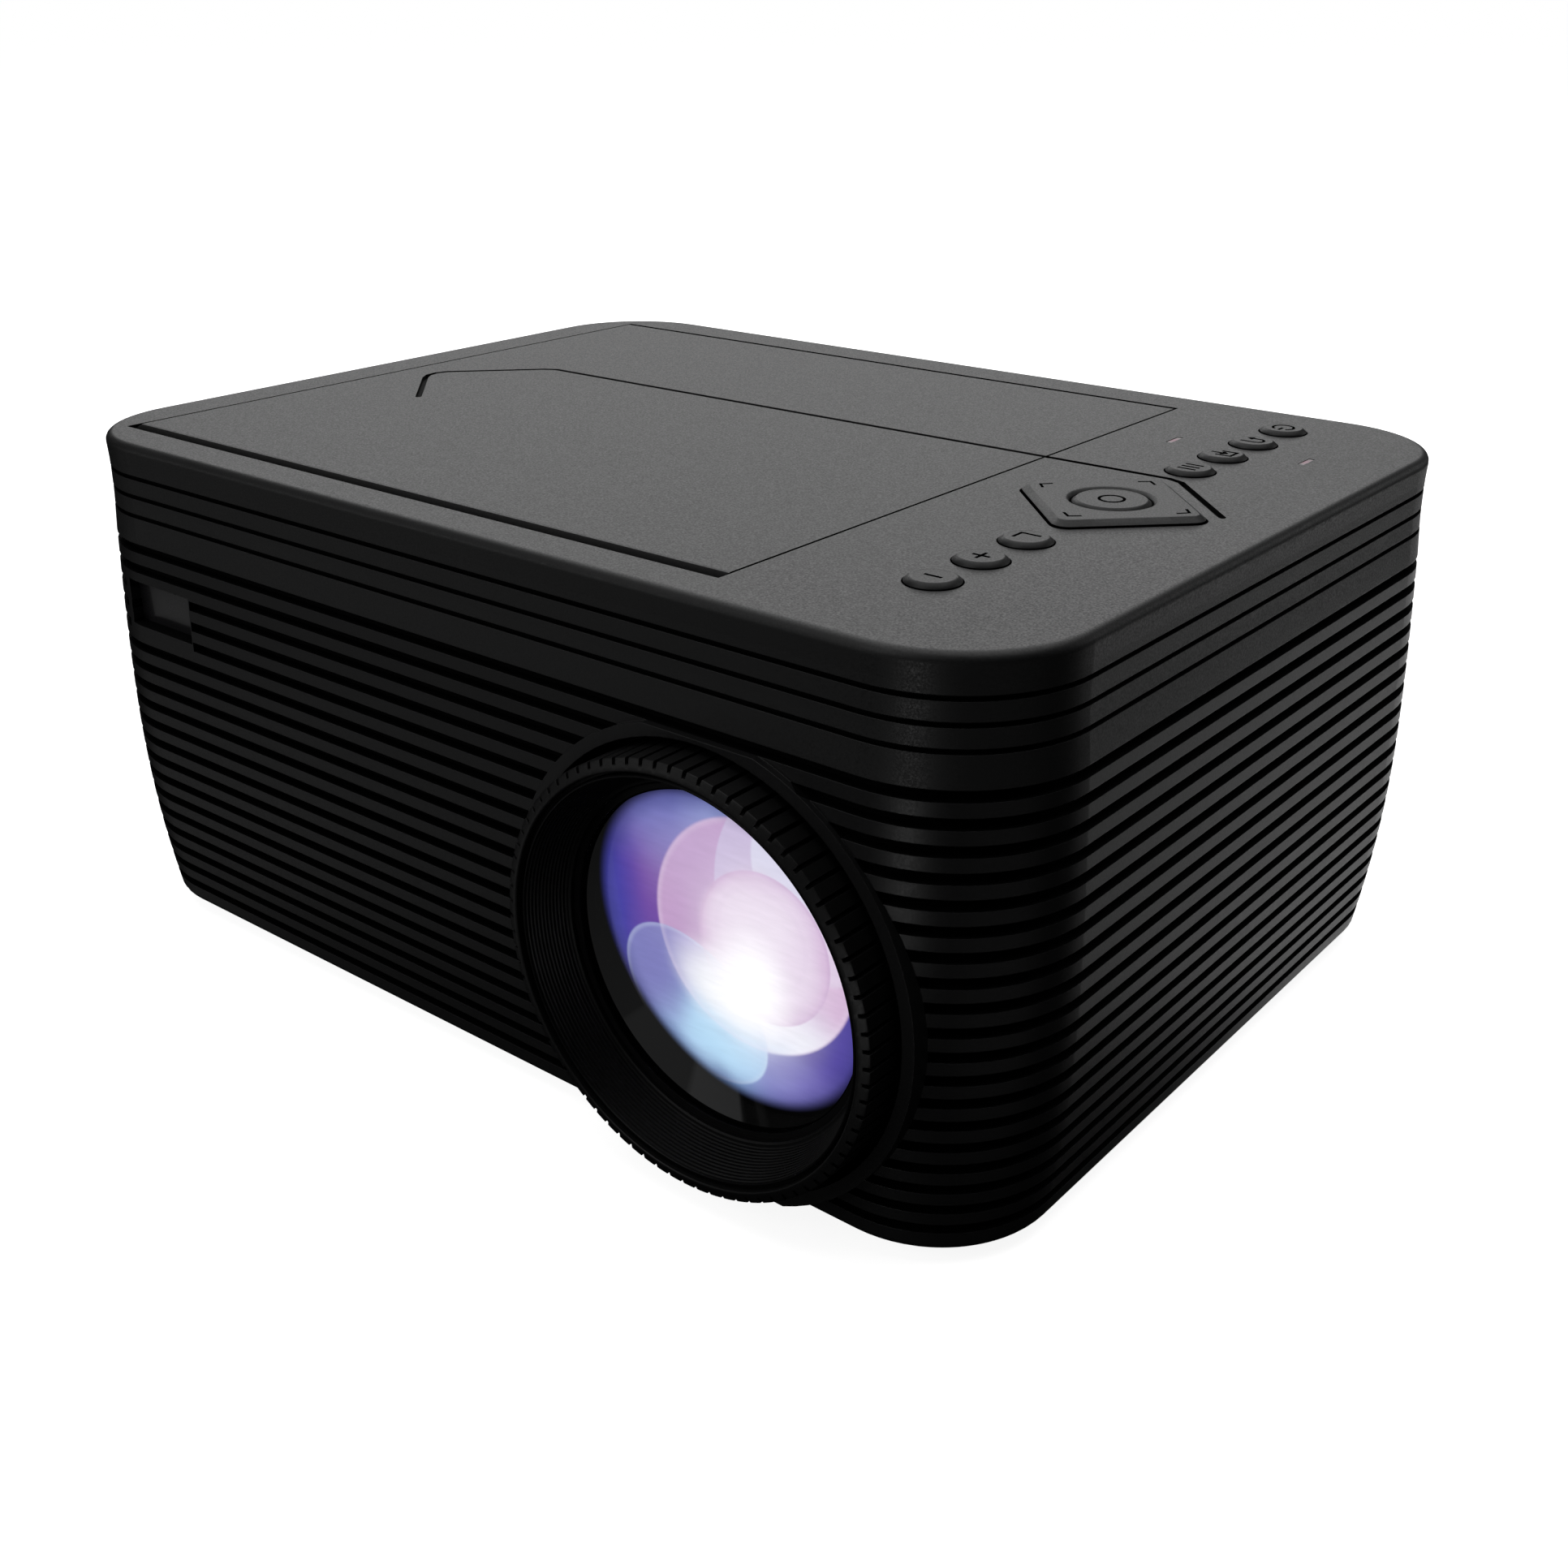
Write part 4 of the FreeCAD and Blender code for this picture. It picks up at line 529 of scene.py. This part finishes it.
def solid_turned(name, profile, mat, body, n=192, axis=(LX, LZ), **kw):
    """Revolves an open outline whose ends lie on the lens axis: a lens or a cap."""
    verts, faces = [(axis[0], profile[0][1], axis[1])], []
    ring = profile[1:-1]
    m = len(ring)
    for i in range(n):
        a = 2 * math.pi * i / n
        verts += [(axis[0] + r * math.cos(a), y, axis[1] + r * math.sin(a)) for r, y in ring]
    verts.append((axis[0], profile[-1][1], axis[1]))
    last = len(verts) - 1
    for i in range(n):
        k = (i + 1) % n
        faces.append((0, 1 + i * m, 1 + k * m))
        faces.append((last, 1 + k * m + m - 1, 1 + i * m + m - 1))
        for j in range(m - 1):
            faces.append((1 + i * m + j, 1 + i * m + j + 1, 1 + k * m + j + 1, 1 + k * m + j))
    return make(name, verts, faces, mat, body, **kw)


def rounded(points, radii, steps=4):
    """An outline with its corners rounded; radii is one per point."""
    out = []
    n = len(points)
    for i in range(n):
        p, r = Vector(points[i]), radii[i]
        a, b = Vector(points[i - 1]), Vector(points[(i + 1) % n])
        if r <= 0:
            out.append(tuple(p))
            continue
        u, v = (a - p).normalized(), (b - p).normalized()
        ang = u.angle(v)
        t = min(r / math.tan(ang / 2), (a - p).length * 0.49, (b - p).length * 0.49)
        rr = t * math.tan(ang / 2)
        c = p + (u + v).normalized() * (rr / math.sin(ang / 2))
        s0, s1 = (p + u * t) - c, (p + v * t) - c
        for k in range(steps + 1):
            w = k / steps
            d = s0.lerp(s1, w)
            out.append(tuple(c + d.normalized() * rr))
    return out


# ---------------------------------------------------------------------------
# focus ring, barrel and glass
# ---------------------------------------------------------------------------
def focus_ring():
    """Knurled ring: flat lands with narrow square notches along its whole length, and a front face that leans back."""
    teeth, R0, depth = 80, 40.45, 1.15
    pitch = 2 * math.pi / teeth
    pmm = pitch * R0
    steps = [0.0, 0.34, 0.40, 0.44]                       # from a notch's middle: floor, wall, land
    span = [0.44 + (pmm / 2 - 0.44) * k / 2 for k in (1, 2)]
    locs = sorted(set(steps + span + [pmm - v for v in steps + span if v > 0 and v < pmm / 2 - 1e-6]))
    rows = []
    for i in range(teeth):
        for d_mm in locs:
            d = min(d_mm, pmm - d_mm)
            r = R0 - depth if d < 0.37 else (R0 - 0.05 if d < 0.42 else R0)
            a = i * pitch + d_mm / R0
            c, s_ = math.cos(a), math.sin(a)
            prof = [(38.9, -84.0), (38.9, -96.4), (38.3, -96.4), (38.05, -96.65), (38.05, -97.9), (38.15, -98.05), (38.3, -98.1), (38.45, -98.1)]
            # the front face leans back to the outside; at a notch it stops at the notch floor
            for w in (0.35, 0.7):
                q = 38.45 + (r - 0.2 - 38.45) * w
                prof.append((q, -98.1 + 0.60 * (q - 38.45) / (R0 - 38.65)))
            q = r - 0.2
            yq = -98.1 + 0.60 * (q - 38.45) / (R0 - 38.65)
            prof += [(q, yq), (r - 0.05, yq + 0.09), (r, yq + 0.25), (r, -91.0), (r, -84.3), (r - 0.3, -84.0)]
            rows.append([(LX + q * c, y, LZ + q * s_) for q, y in prof])
    m, n = len(rows[0]), len(rows)
    verts, faces = [v for row in rows for v in row], []
    for i in range(n):
        k = (i + 1) % n
        for j in range(m):
            q = (j + 1) % m
            faces.append((i * m + j, i * m + q, k * m + q, k * m + j))
    return make("focus_ring_knurled", verts, faces, RINGBLACK, "focus_ring", slot="lens_plastic", replaces=("focus_ring",), sharp=32.0)


RINGBLACK = moulded("ring_satin", (0.0065, 0.0065, 0.0068), 0.42, grain=0.12, spec=0.36, wear=0.15, bevel=0.00010)
BORE = moulded("bore_matt", (0.0045, 0.0045, 0.0048), 0.42, grain=0.08, spec=0.24, wear=0.10, bevel=0.00006)
RETAINER = moulded("retainer_gloss", (0.0080, 0.0080, 0.0085), 0.16, grain=0.03, spec=0.55, wear=0.0, bevel=0.0001)
focus_ring()


def barrel():
    """Lens barrel: a flared mouth cut with fine light-trapping rings, a step, and the glass seats."""
    p = [(37.4, -51.3), (37.4, -97.05), (37.15, -97.3), (36.95, -97.3)]
    n = 12
    for i in range(n):
        r0 = 36.9 - 2.8 * i / n
        y0 = -97.22 + 7.75 * i / n
        step = 7.75 / n
        p += [(r0, y0), (r0 - 0.06, y0 + step * 0.50), (r0 + 0.12, y0 + step * 0.62), (r0 + 0.10 - 2.8 / n, y0 + step * 0.96)]
    p += [(34.1, -89.45), (33.55, -89.45), (33.2, -89.2), (33.2, -88.3), (32.0, -88.3), (32.0, -82.0), (30.4, -82.0), (30.4, -68.0), (32.0, -68.0), (32.0, -51.3)]
    return turned("lens_barrel_turned", p, BORE, "lens_barrel", n=288, slot="lens_plastic", replaces=("lens_barrel",), sharp=30.0)


barrel()


def lens_outline(y_edge, edge, radius, front, back, steps=14):
    """Half outline of a glass element, from its front vertex to its back vertex."""
    def face(y0, b):
        if abs(b) < 1e-6:
            return [(radius * k / steps, y0) for k in range(steps + 1)]
        rs = (radius * radius + b * b) / (2 * abs(b))
        out = []
        for k in range(steps + 1):
            r = radius * k / steps
            h = abs(b) - (rs - math.sqrt(rs * rs - r * r))
            out.append((r, y0 + math.copysign(h, b)))
        return out
    f = face(y_edge, -front)
    f[-1:] = [(radius - 0.25, f[-1][1] - 0.02), (radius, y_edge + 0.25)]
    b = face(y_edge + edge, back)
    b[-1:] = [(radius - 0.25, b[-1][1] + 0.02), (radius, y_edge + edge - 0.25)]
    return f + b[::-1]


turned("retainer_ring_front", [(31.95, -82.3), (31.95, -85.4), (31.7, -85.5), (31.2, -85.5), (30.62, -84.9), (30.62, -82.3)], RETAINER, "lens_barrel",
       n=192, slot="lens_plastic", replaces=("lens_retainers",), sharp=30.0)
turned("retainer_ring_rear", [(31.95, -60.9), (31.95, -63.1), (31.2, -63.2), (31.0, -63.0), (31.0, -60.9)], RETAINER, "lens_barrel",
       n=96, slot="lens_plastic", sharp=30.0)


def lit_glass():
    """The back of the front glass, where the lamp's light shows: soft-edged discs of colour, brightest low right of the middle."""
    m = Mat("lens_lit_glass")

    def slide(vx, vy, vz, c):
        """One pattern coordinate in millimetres: a constant direction through the glass, so the disc stays whole on the curved face."""
        d = m.n.new("ShaderNodeVectorMath")
        d.operation = "DOT_PRODUCT"
        m.link(m.coord, d.inputs[0])
        d.inputs[1].default_value = (vx, vy, vz)
        return m.maths("ADD", d.outputs["Value"], c)

    bx = slide(1000.0, 890.0, 0.0, 0.89 * 82.2 - (LX + 1.0))
    bz = slide(0.0, 780.0, 1000.0, 0.78 * 82.2 - SZ - (LZ + 1.9))
    both = m.n.new("ShaderNodeCombineXYZ")
    m.link(bx, both.inputs[0])
    m.link(bz, both.inputs[2])
    base = both.outputs[0]
    warp = m.n.new("ShaderNodeTexNoise")
    warp.inputs["Scale"].default_value = 0.11
    warp.inputs["Detail"].default_value = 1.0
    m.link(base, warp.inputs["Vector"])
    wv = m.n.new("ShaderNodeVectorMath")
    wv.operation = "MULTIPLY_ADD"
    m.link(warp.outputs["Color"], wv.inputs[0])
    wv.inputs[1].default_value = (3.0, 0.0, 3.0)
    off = m.n.new("ShaderNodeVectorMath")
    off.operation = "SUBTRACT"
    m.link(base, off.inputs[0])
    off.inputs[1].default_value = (1.5, 0.0, 1.5)
    m.link(off.outputs["Vector"], wv.inputs[2])
    soft = wv.outputs["Vector"]

    def blob(cx, cz, rx, rz, edge, turn=0.0, crisp=False):
        """1 inside an ellipse, 0 outside, with a soft edge; edge is a share of its size."""
        q = m.n.new("ShaderNodeMapping")
        q.vector_type = "TEXTURE"
        q.inputs["Location"].default_value = (cx, 0, cz)
        q.inputs["Rotation"].default_value = (0, math.radians(turn), 0)
        q.inputs["Scale"].default_value = (rx, 1.0, rz)
        m.link(base if crisp else soft, q.inputs["Vector"])
        d = m.n.new("ShaderNodeVectorMath")
        d.operation = "LENGTH"
        m.link(q.outputs["Vector"], d.inputs[0])
        r = m.n.new("ShaderNodeMapRange")
        r.interpolation_type = "SMOOTHSTEP"
        r.inputs["From Min"].default_value = 1.0 + edge
        r.inputs["From Max"].default_value = max(0.0, 1.0 - edge)
        m.link(d.outputs["Value"], r.inputs["Value"])
        return r.outputs["Result"]

    def over(col, fac, k, c):
        return m.mix(m.maths("MULTIPLY", fac, k), col, c)

    col = m.mix(blob(-2, 2, 27, 27, 0.35), (0.035, 0.035, 0.20), (0.085, 0.065, 0.33))
    col = over(col, blob(-17, 9, 8, 14, 0.7), 0.85, (0.190, 0.080, 0.37))         # violet, left
    col = over(col, blob(-27, 2, 7, 15, 0.6), 0.8, (0.045, 0.050, 0.36))          # deep blue, far left
    col = over(col, blob(-12, 22, 14, 8, 0.7), 0.8, (0.19, 0.21, 0.52))           # slate blue, upper left
    col = over(col, blob(2, 23, 9, 7, 0.8), 0.7, (0.34, 0.40, 0.68))              # paler towards the top
    col = over(col, blob(12, -25, 17, 8, 0.6), 0.85, (0.27, 0.31, 0.60))          # blue, bottom
    col = over(col, blob(27, -13, 10, 13, 0.6), 0.9, (0.10, 0.075, 0.36))         # indigo, lower right
    def outline(cx, cz, rx, rz, turn=0.0, thick=0.04):
        """A thin ring just inside an ellipse's edge."""
        return m.maths("SUBTRACT", blob(cx, cz, rx, rz, 0.012, turn, True), blob(cx, cz, rx * (1 - thick), rz * (1 - thick), 0.03, turn, True), True)

    wide = blob(6.4, 5.0, 21.4, 21.4, 0.022, crisp=True)
    col = over(col, wide, 0.86, (0.60, 0.39, 0.61))                                # wide pink disc
    col = over(col, blob(-5, 13, 10, 8, 0.8), 0.30, (0.62, 0.48, 0.70))
    col = over(col, blob(8.0, 17.5, 9.5, 15.5, 0.03, 14.0, crisp=True), 0.55, (0.64, 0.62, 0.80))  # pale petal
    col = over(col, blob(17.0, 15.0, 9.0, 15.0, 0.035, -32.0, crisp=True), 0.60, (0.76, 0.79, 0.91))  # its neighbour, upper right
    col = over(col, m.maths("MULTIPLY", wide, blob(25.0, 1.0, 6.0, 14.0, 0.6)), 0.55, (0.80, 0.60, 0.77))    # pink rim, right
    col = over(col, m.maths("MULTIPLY", wide, blob(14.0, -13.0, 13.0, 8.0, 0.7, 20.0)), 0.95, (0.90, 0.92, 0.98))  # pale crescent, lower right
    col = over(col, blob(8.6, 3.6, 14.0, 14.0, 0.020, crisp=True), 0.80, (0.64, 0.43, 0.65))    # inner disc's dusky edge
    col = over(col, blob(8.0, 4.0, 12.4, 12.4, 0.20), 0.85, (0.76, 0.62, 0.78))   # inner disc
    col = over(col, blob(6.5, 9.0, 8.0, 5.0, 0.5), 0.35, (0.84, 0.74, 0.86))
    col = over(col, blob(-5.5, -22.0, 14.0, 6.0, 0.6), 0.85, (0.24, 0.52, 0.75))  # cyan, below
    col = over(col, blob(2.5, -17.5, 11.0, 6.0, 0.7), 0.70, (0.54, 0.76, 0.94))   # sky blue under the hot spot
    oval = blob(-6.6, -12.6, 17.4, 11.6, 0.022, 30.0, crisp=True)
    col = over(col, oval, 0.55, (0.42, 0.50, 0.78))                                # blue oval, lower left
    col = over(col, m.maths("MULTIPLY", oval, blob(0.5, -16.0, 10.0, 8.0, 0.7)), 0.85, (0.50, 0.76, 0.95))
    col = over(col, m.maths("MULTIPLY", oval, blob(-18, -7, 8, 10, 0.8)), 0.75, (0.19, 0.18, 0.47))           # darker at its left end
    col = over(col, outline(6.4, 5.0, 21.4, 21.4), 0.20, (0.86, 0.76, 0.90))
    col = over(col, outline(-6.6, -12.6, 17.4, 11.6, 30.0), 0.20, (0.72, 0.80, 0.94))
    col = over(col, outline(8.6, 3.6, 14.0, 14.0), 0.40, (0.54, 0.36, 0.58))
    col = over(col, outline(8.0, 5.0, 10.0, 10.0, 0.0, 0.10), 0.16, (0.62, 0.46, 0.66))
    dusk = m.maths("MULTIPLY", m.maths("SUBTRACT", 1.0, wide), m.maths("SUBTRACT", 1.0, oval))
    col = over(col, m.maths("MULTIPLY", dusk, blob(14.0, -20.5, 10.5, 6.5, 0.7)), 0.75, (0.20, 0.165, 0.50))  # violet blue, beside the oval's end
    col = over(col, blob(7.4, 0.0, 10.0, 13.0, 0.95), 0.82, (0.94, 0.87, 0.95))   # hot middle and its skirt
    col = over(col, blob(-1.0, -7.8, 8.2, 5.0, 0.8, 24.0), 0.9, (0.97, 0.98, 1.0))
    col = over(col, blob(5.8, -4.8, 6.6, 7.8, 0.75), 1.0, (1.08, 1.06, 1.08))
    col = over(col, m.maths("SUBTRACT", 1.0, blob(1.2, 0.9, 28.4, 24.2, 0.10, 35.0), True), 0.62, (0.030, 0.030, 0.16))  # deeper towards the rim
    streak = m.noise(0.55, 3.0, 0.6, q_stretch(m, base))
    col = m.mix(0.16, col, m.ramp(streak, [(0.3, 0.75), (0.7, 1.2)]), "MULTIPLY")
    # outside the light the glass is dark, with a few faint pale wedges low down: painted reflections of the lamps in
    # the glass
    turn_ = m.maths("ARCTAN2", bz, bx)
    reflection_wedges = m.ramp(m.maths("ADD", m.maths("DIVIDE", turn_, 2 * math.pi), 0.5),
                   [(0.0, 0.0060), (0.06, 0.0072), (0.118, 0.0080), (0.122, 0.0125), (0.205, 0.0115), (0.209, 0.0215), (0.266, 0.0185), (0.270, 0.0015), (0.285, 0.0015), (0.288, 0.0042), (0.296, 0.0036), (0.299, 0.0012), (0.45, 0.002), (0.75, 0.0025), (1.0, 0.0060)])
    rim = blob(0.9, 0.8, 30.4, 25.6, 0.05, 35.0, crisp=True)
    glow = m.mix(rim, reflection_wedges, col)
    m.put("Base Color", (0.004, 0.004, 0.006, 1.0))
    m.p.inputs["Roughness"].default_value = 0.05
    m.put("Emission Color", glow)
    m.p.inputs["Emission Strength"].default_value = 1.02
    return m.m


def q_stretch(m, vec):
    n = m.n.new("ShaderNodeMapping")
    n.inputs["Rotation"].default_value = (0, math.radians(-32), 0)
    n.inputs["Scale"].default_value = (0.25, 1.0, 1.6)
    m.link(vec, n.inputs["Vector"])
    return n.outputs["Vector"]


LIT = lit_glass()
CLEARFRONT = glass("lens_front_clear", (0.97, 0.98, 1.0), 0.0, 1.13)


def front_glass():
    """Front element: clear front, blackened rim, and the lit back face behind them."""
    outline = lens_outline(-88.2, 2.6, 31.98, 3.2, -2.0)
    n, ring = 192, outline[1:-1]
    m = len(ring)
    verts, faces, mats = [(LX, outline[0][1], LZ)], [], []
    for i in range(n):
        a = 2 * math.pi * i / n
        verts += [(LX + r * math.cos(a), y, LZ + r * math.sin(a)) for r, y in ring]
    verts.append((LX, outline[-1][1], LZ))
    last = len(verts) - 1
    half = next(k for k in range(m) if ring[k][1] > -86.2)      # first point of the back face

    for i in range(n):
        k = (i + 1) % n
        faces.append((0, 1 + i * m, 1 + k * m)); mats.append(0)
        faces.append((last, 1 + k * m + m - 1, 1 + i * m + m - 1)); mats.append(1)
        for j in range(m - 1):
            faces.append((1 + i * m + j, 1 + i * m + j + 1, 1 + k * m + j + 1, 1 + k * m + j))
            mats.append(2 if min(ring[j][0], ring[j + 1][0]) > 31.6 else (1 if j >= half else 0))
    o = make("front_lens_glass", verts, faces, (CLEARFRONT, LIT, SHADE_AND_RIM_BLACK), "lens_barrel", slot="lens_glass", replaces=("front_lens",), sharp=40.0, face_mats=mats)
    o.visible_diffuse = False
    o.visible_glossy = False
    return o


front_glass()
solid_turned("middle_lens_glass", lens_outline(-81.6, 2.4, 30.36, 2.2, 1.6, 18), OPTIC, "lens_barrel",
             slot="clear_optic", replaces=("inner_lenses",), sharp=40.0, n=128)
solid_turned("rear_lens_glass", lens_outline(-67.5, 4.0, 31.98, 4.0, 4.0), OPTIC, "lens_barrel", slot="clear_optic", sharp=40.0, n=96)

# ---------------------------------------------------------------------------
# keys
# ---------------------------------------------------------------------------
def revolve_z(cx, cy, profile, n=96):
    """An open outline (radius, z) whose ends lie on a vertical axis, turned into vertices and faces."""
    ring = profile[1:-1]
    m = len(ring)
    verts, faces = [(cx, cy, profile[0][1])], []
    for i in range(n):
        a = 2 * math.pi * i / n
        verts += [(cx + r * math.cos(a), cy + r * math.sin(a), z) for r, z in ring]
    verts.append((cx, cy, profile[-1][1]))
    last = len(verts) - 1
    for i in range(n):
        k = (i + 1) % n
        faces.append((0, 1 + i * m, 1 + k * m))
        faces.append((last, 1 + k * m + m - 1, 1 + i * m + m - 1))
        for j in range(m - 1):
            faces.append((1 + i * m + j, 1 + i * m + j + 1, 1 + k * m + j + 1, 1 + k * m + j))
    return verts, faces


def ribbon(points, width, z_low, z_high, closed=False):
    """A flat strip of even width along a line of (x, y) points."""
    pts = [Vector(q) for q in points]
    n = len(pts)
    left, right = [], []
    for i in range(n):
        a = pts[i] - pts[i - 1] if (i or closed) else pts[1] - pts[0]
        b = pts[(i + 1) % n] - pts[i] if (i < n - 1 or closed) else pts[-1] - pts[-2]
        a, b = a.normalized(), b.normalized()
        na, nb = Vector((-a.y, a.x)), Vector((-b.y, b.x))
        mid = (na + nb).normalized()
        k = width / 2 / max(0.35, mid.dot(na))
        left.append(pts[i] + mid * k)
        right.append(pts[i] - mid * k)
    verts, faces = [], []
    for i in range(n):
        verts += [(left[i].x, left[i].y, z_high), (right[i].x, right[i].y, z_high), (right[i].x, right[i].y, z_low), (left[i].x, left[i].y, z_low)]
    for i in range(n if closed else n - 1):
        k = (i + 1) % n
        for j in range(4):
            q = (j + 1) % 4
            faces.append((i * 4 + j, i * 4 + q, k * 4 + q, k * 4 + j))
    if not closed:
        faces += [(0, 1, 2, 3), tuple(4 * (n - 1) + j for j in (3, 2, 1, 0))]
    return verts, faces


def arc(cx, cy, r, a0, a1, n=20):
    return [(cx + r * math.cos(math.radians(a0 + (a1 - a0) * k / n)), cy + r * math.sin(math.radians(a0 + (a1 - a0) * k / n))) for k in range(n + 1)]


def box_mesh(x, y, z):
    v = [(a, b, c) for a in x for b in y for c in z]
    return v, [(0, 1, 3, 2), (4, 6, 7, 5), (0, 4, 5, 1), (2, 3, 7, 6), (0, 2, 6, 4), (1, 5, 7, 3)]


def gather(name, parts, mats, body, **kw):
    """One piece from several shells, each with its material number."""
    verts, faces, ids = [], [], []
    for (v, f), k in parts:
        n = len(verts)
        verts += v
        faces += [tuple(i + n for i in q) for q in f]
        ids += k if isinstance(k, list) else [k] * len(f)
    return make(name, verts, faces, mats, body, face_mats=ids, **kw)


def gap_shade_below(shell, z):
    """Material numbers that turn a key's upright side, below z, into the dark line round it: painted shade of the gap
    round the key.
    """
    v, f = shell
    return [1 if max(v[i][2] for i in q) <= z + 1e-6 else 0 for q in f]


ICONS = {
    "volume_down_key": [[(-1.7, 0.0), (1.7, 0.0)]],
    "volume_up_key": [[(-1.7, 0.0), (1.7, 0.0)], [(0.0, -1.7), (0.0, 1.7)]],
    "next_key": [[(-1.8, -1.5), (-1.8, 1.4), (2.1, 1.4)]],
    "menu_key": [[(-1.9, 1.75), (1.9, 1.75)], [(-1.9, 0.0), (1.9, 0.0)], [(-1.9, -1.75), (1.9, -1.75)]],
    "source_key": [[(-0.9, 1.6), (2.3, 1.6), (2.3, -1.6), (-0.9, -1.6)], [(-2.5, 0.0), (0.7, 0.0)], [(-0.3, 0.9), (0.7, 0.0), (-0.3, -0.9)]],
    "back_key": [[(-2.2, -1.4), (0.8, -1.4)] + arc(0.8, 0.0, 1.4, -80, 80, 12) + [(0.8, 1.4), (-1.3, 1.4)], [(-0.6, 2.1), (-1.5, 1.4), (-0.6, 0.7)]],
    "power_key": [arc(0.0, 0.0, 2.15, -55, 235, 30), [(0.0, -0.4), (0.0, -2.5)]],
}
KEY_Y = {"volume_down_key": -59.5, "volume_up_key": -45.5, "next_key": -31.4, "menu_key": 28.9, "source_key": 42.9, "back_key": 56.7, "power_key": 71.1}
TRAVEL = {}


def key_profile(r, top, edge, low=104.2):
    w = edge * 1.2
    out = [(r, low), (r, top - edge - 0.12), (r - 0.03, top - edge)]
    out += [(r - w + 0.05, top - 0.10), (r - w - 0.07, top - 0.02), (r - w - 0.20, top), (r - w - 0.45, top - 0.04), (r - w - 0.9, top - 0.07), (0.0, top - 0.08)]
    return out


for name, y in KEY_Y.items():
    cap = revolve_z(87.35, y, [(0.0, 101.0), (1.8, 101.0), (1.8, 103.5), (5.8, 103.5), (5.8, 104.2)] + key_profile(4.85, 109.0, 0.75))
    # the cap's upright side below its top rounding: painted shade of the gap round the key
    shells = [(cap, gap_shade_below(cap, 108.2))]
    for line in ICONS[name]:
        shells.append((ribbon([(87.35 + a, y + b) for a, b in line], 0.56, 108.8, 108.965), 1))
    gather(name + "_moulded", shells, (KEY, MARK_AND_GAP_SHADE), name, slot="key_plastic", replaces=(name,), sharp=50.0)

ring_mark = ribbon(arc(87.4, -2.2, 2.3, 0, 360, 48)[:-1], 0.56, 109.0, 109.265, closed=True)
ok = revolve_z(87.4, -2.2, [(0.0, 100.9), (2.0, 100.9), (2.0, 101.9), (8.6, 101.9), (8.6, 102.8), (6.6, 102.8), (6.6, 103.9)] + key_profile(7.28, 109.3, 0.62, 103.9))
gather("ok_key_moulded", [(ok, gap_shade_below(ok, 108.6)), (ring_mark, 1)], (KEY, MARK_AND_GAP_SHADE), "ok", slot="key_plastic", replaces=("ok_key",), sharp=50.0)


def diamond_at(a, back, r=3.0):
    """Distance from the centre to a rounded square standing on its corner, drawn in by `back`, at angle a."""
    h = half_side - r
    lo, hi = 5.0, 40.0
    ca, sa = math.cos(a - math.pi / 4), math.sin(a - math.pi / 4)
    for _ in range(40):
        t = (lo + hi) / 2
        qx, qy = abs(t * ca) - h, abs(t * sa) - h
        d = math.hypot(max(qx, 0.0), max(qy, 0.0)) + min(max(qx, qy), 0.0) - r
        if d < -back:
            lo = t
        else:
            hi = t
    return (lo + hi) / 2


half_side = 19.9 / math.sqrt(2)
rings = [(lambda a: 7.65, 103.6), (lambda a: 7.65, 108.55), (lambda a: 7.75, 108.68), (lambda a: 8.22, 109.20), (lambda a: 8.45, 109.265), (lambda a: 9.6, 109.27)]
for b_, z_ in ((1.75, 109.27), (1.34, 109.262), (1.20, 109.215), (0.12, 108.38), (0.03, 108.31), (0.0, 108.20), (0.0, 103.6)):
    rings.append((lambda a, b=b_: diamond_at(a, b), z_))
nav_v, nav_f = [], []
NN = 320
for i in range(NN):
    a = 2 * math.pi * i / NN
    for f, z in rings:
        t = f(a)
        nav_v.append((87.4 + t * math.cos(a), -2.2 + t * math.sin(a), z))
mm = len(rings)
for i in range(NN):
    k = (i + 1) % NN
    for j in range(mm):
        q = (j + 1) % mm
        nav_f.append((i * mm + j, i * mm + q, k * mm + q, k * mm + j))
# the navigation plate's upright side below its rim: painted shade of the gap round it
nav_parts = [((nav_v, nav_f), [1 if mm - 3 <= j <= mm - 2 else 0 for i in range(NN) for j in range(mm)])]
for s_ in (-1, 1):
    nav_parts.append((box_mesh((85.2, 89.6), (-2.2 + s_ * 14.2 - 1.2, -2.2 + s_ * 14.2 + 1.2), (100.3, 103.8)), 0))
    nav_parts.append((box_mesh((86.4, 88.4), (-2.2 + s_ * 17.1 - 1.0, -2.2 + s_ * 17.1 + 1.0), (100.8, 103.8)), 0))
for cx, cy, ux, uy in ((71.9, -1.6, -1, 0), (87.2, 12.9, 0, 1), (87.1, -17.2, 0, -1), (102.9, -1.9, 1, 0)):
    vx, vy = -uy, ux
    nav_parts.append((ribbon([(cx - ux * 1.6 + vx * 1.8, cy - uy * 1.6 + vy * 1.8), (cx, cy), (cx - ux * 1.6 - vx * 1.8, cy - uy * 1.6 - vy * 1.8)], 0.52, 109.1, 109.298), 1))
gather("navigation_key_moulded", nav_parts, (KEY, MARK_AND_GAP_SHADE), "navigation", slot="key_plastic", replaces=("navigation_key",), sharp=50.0)
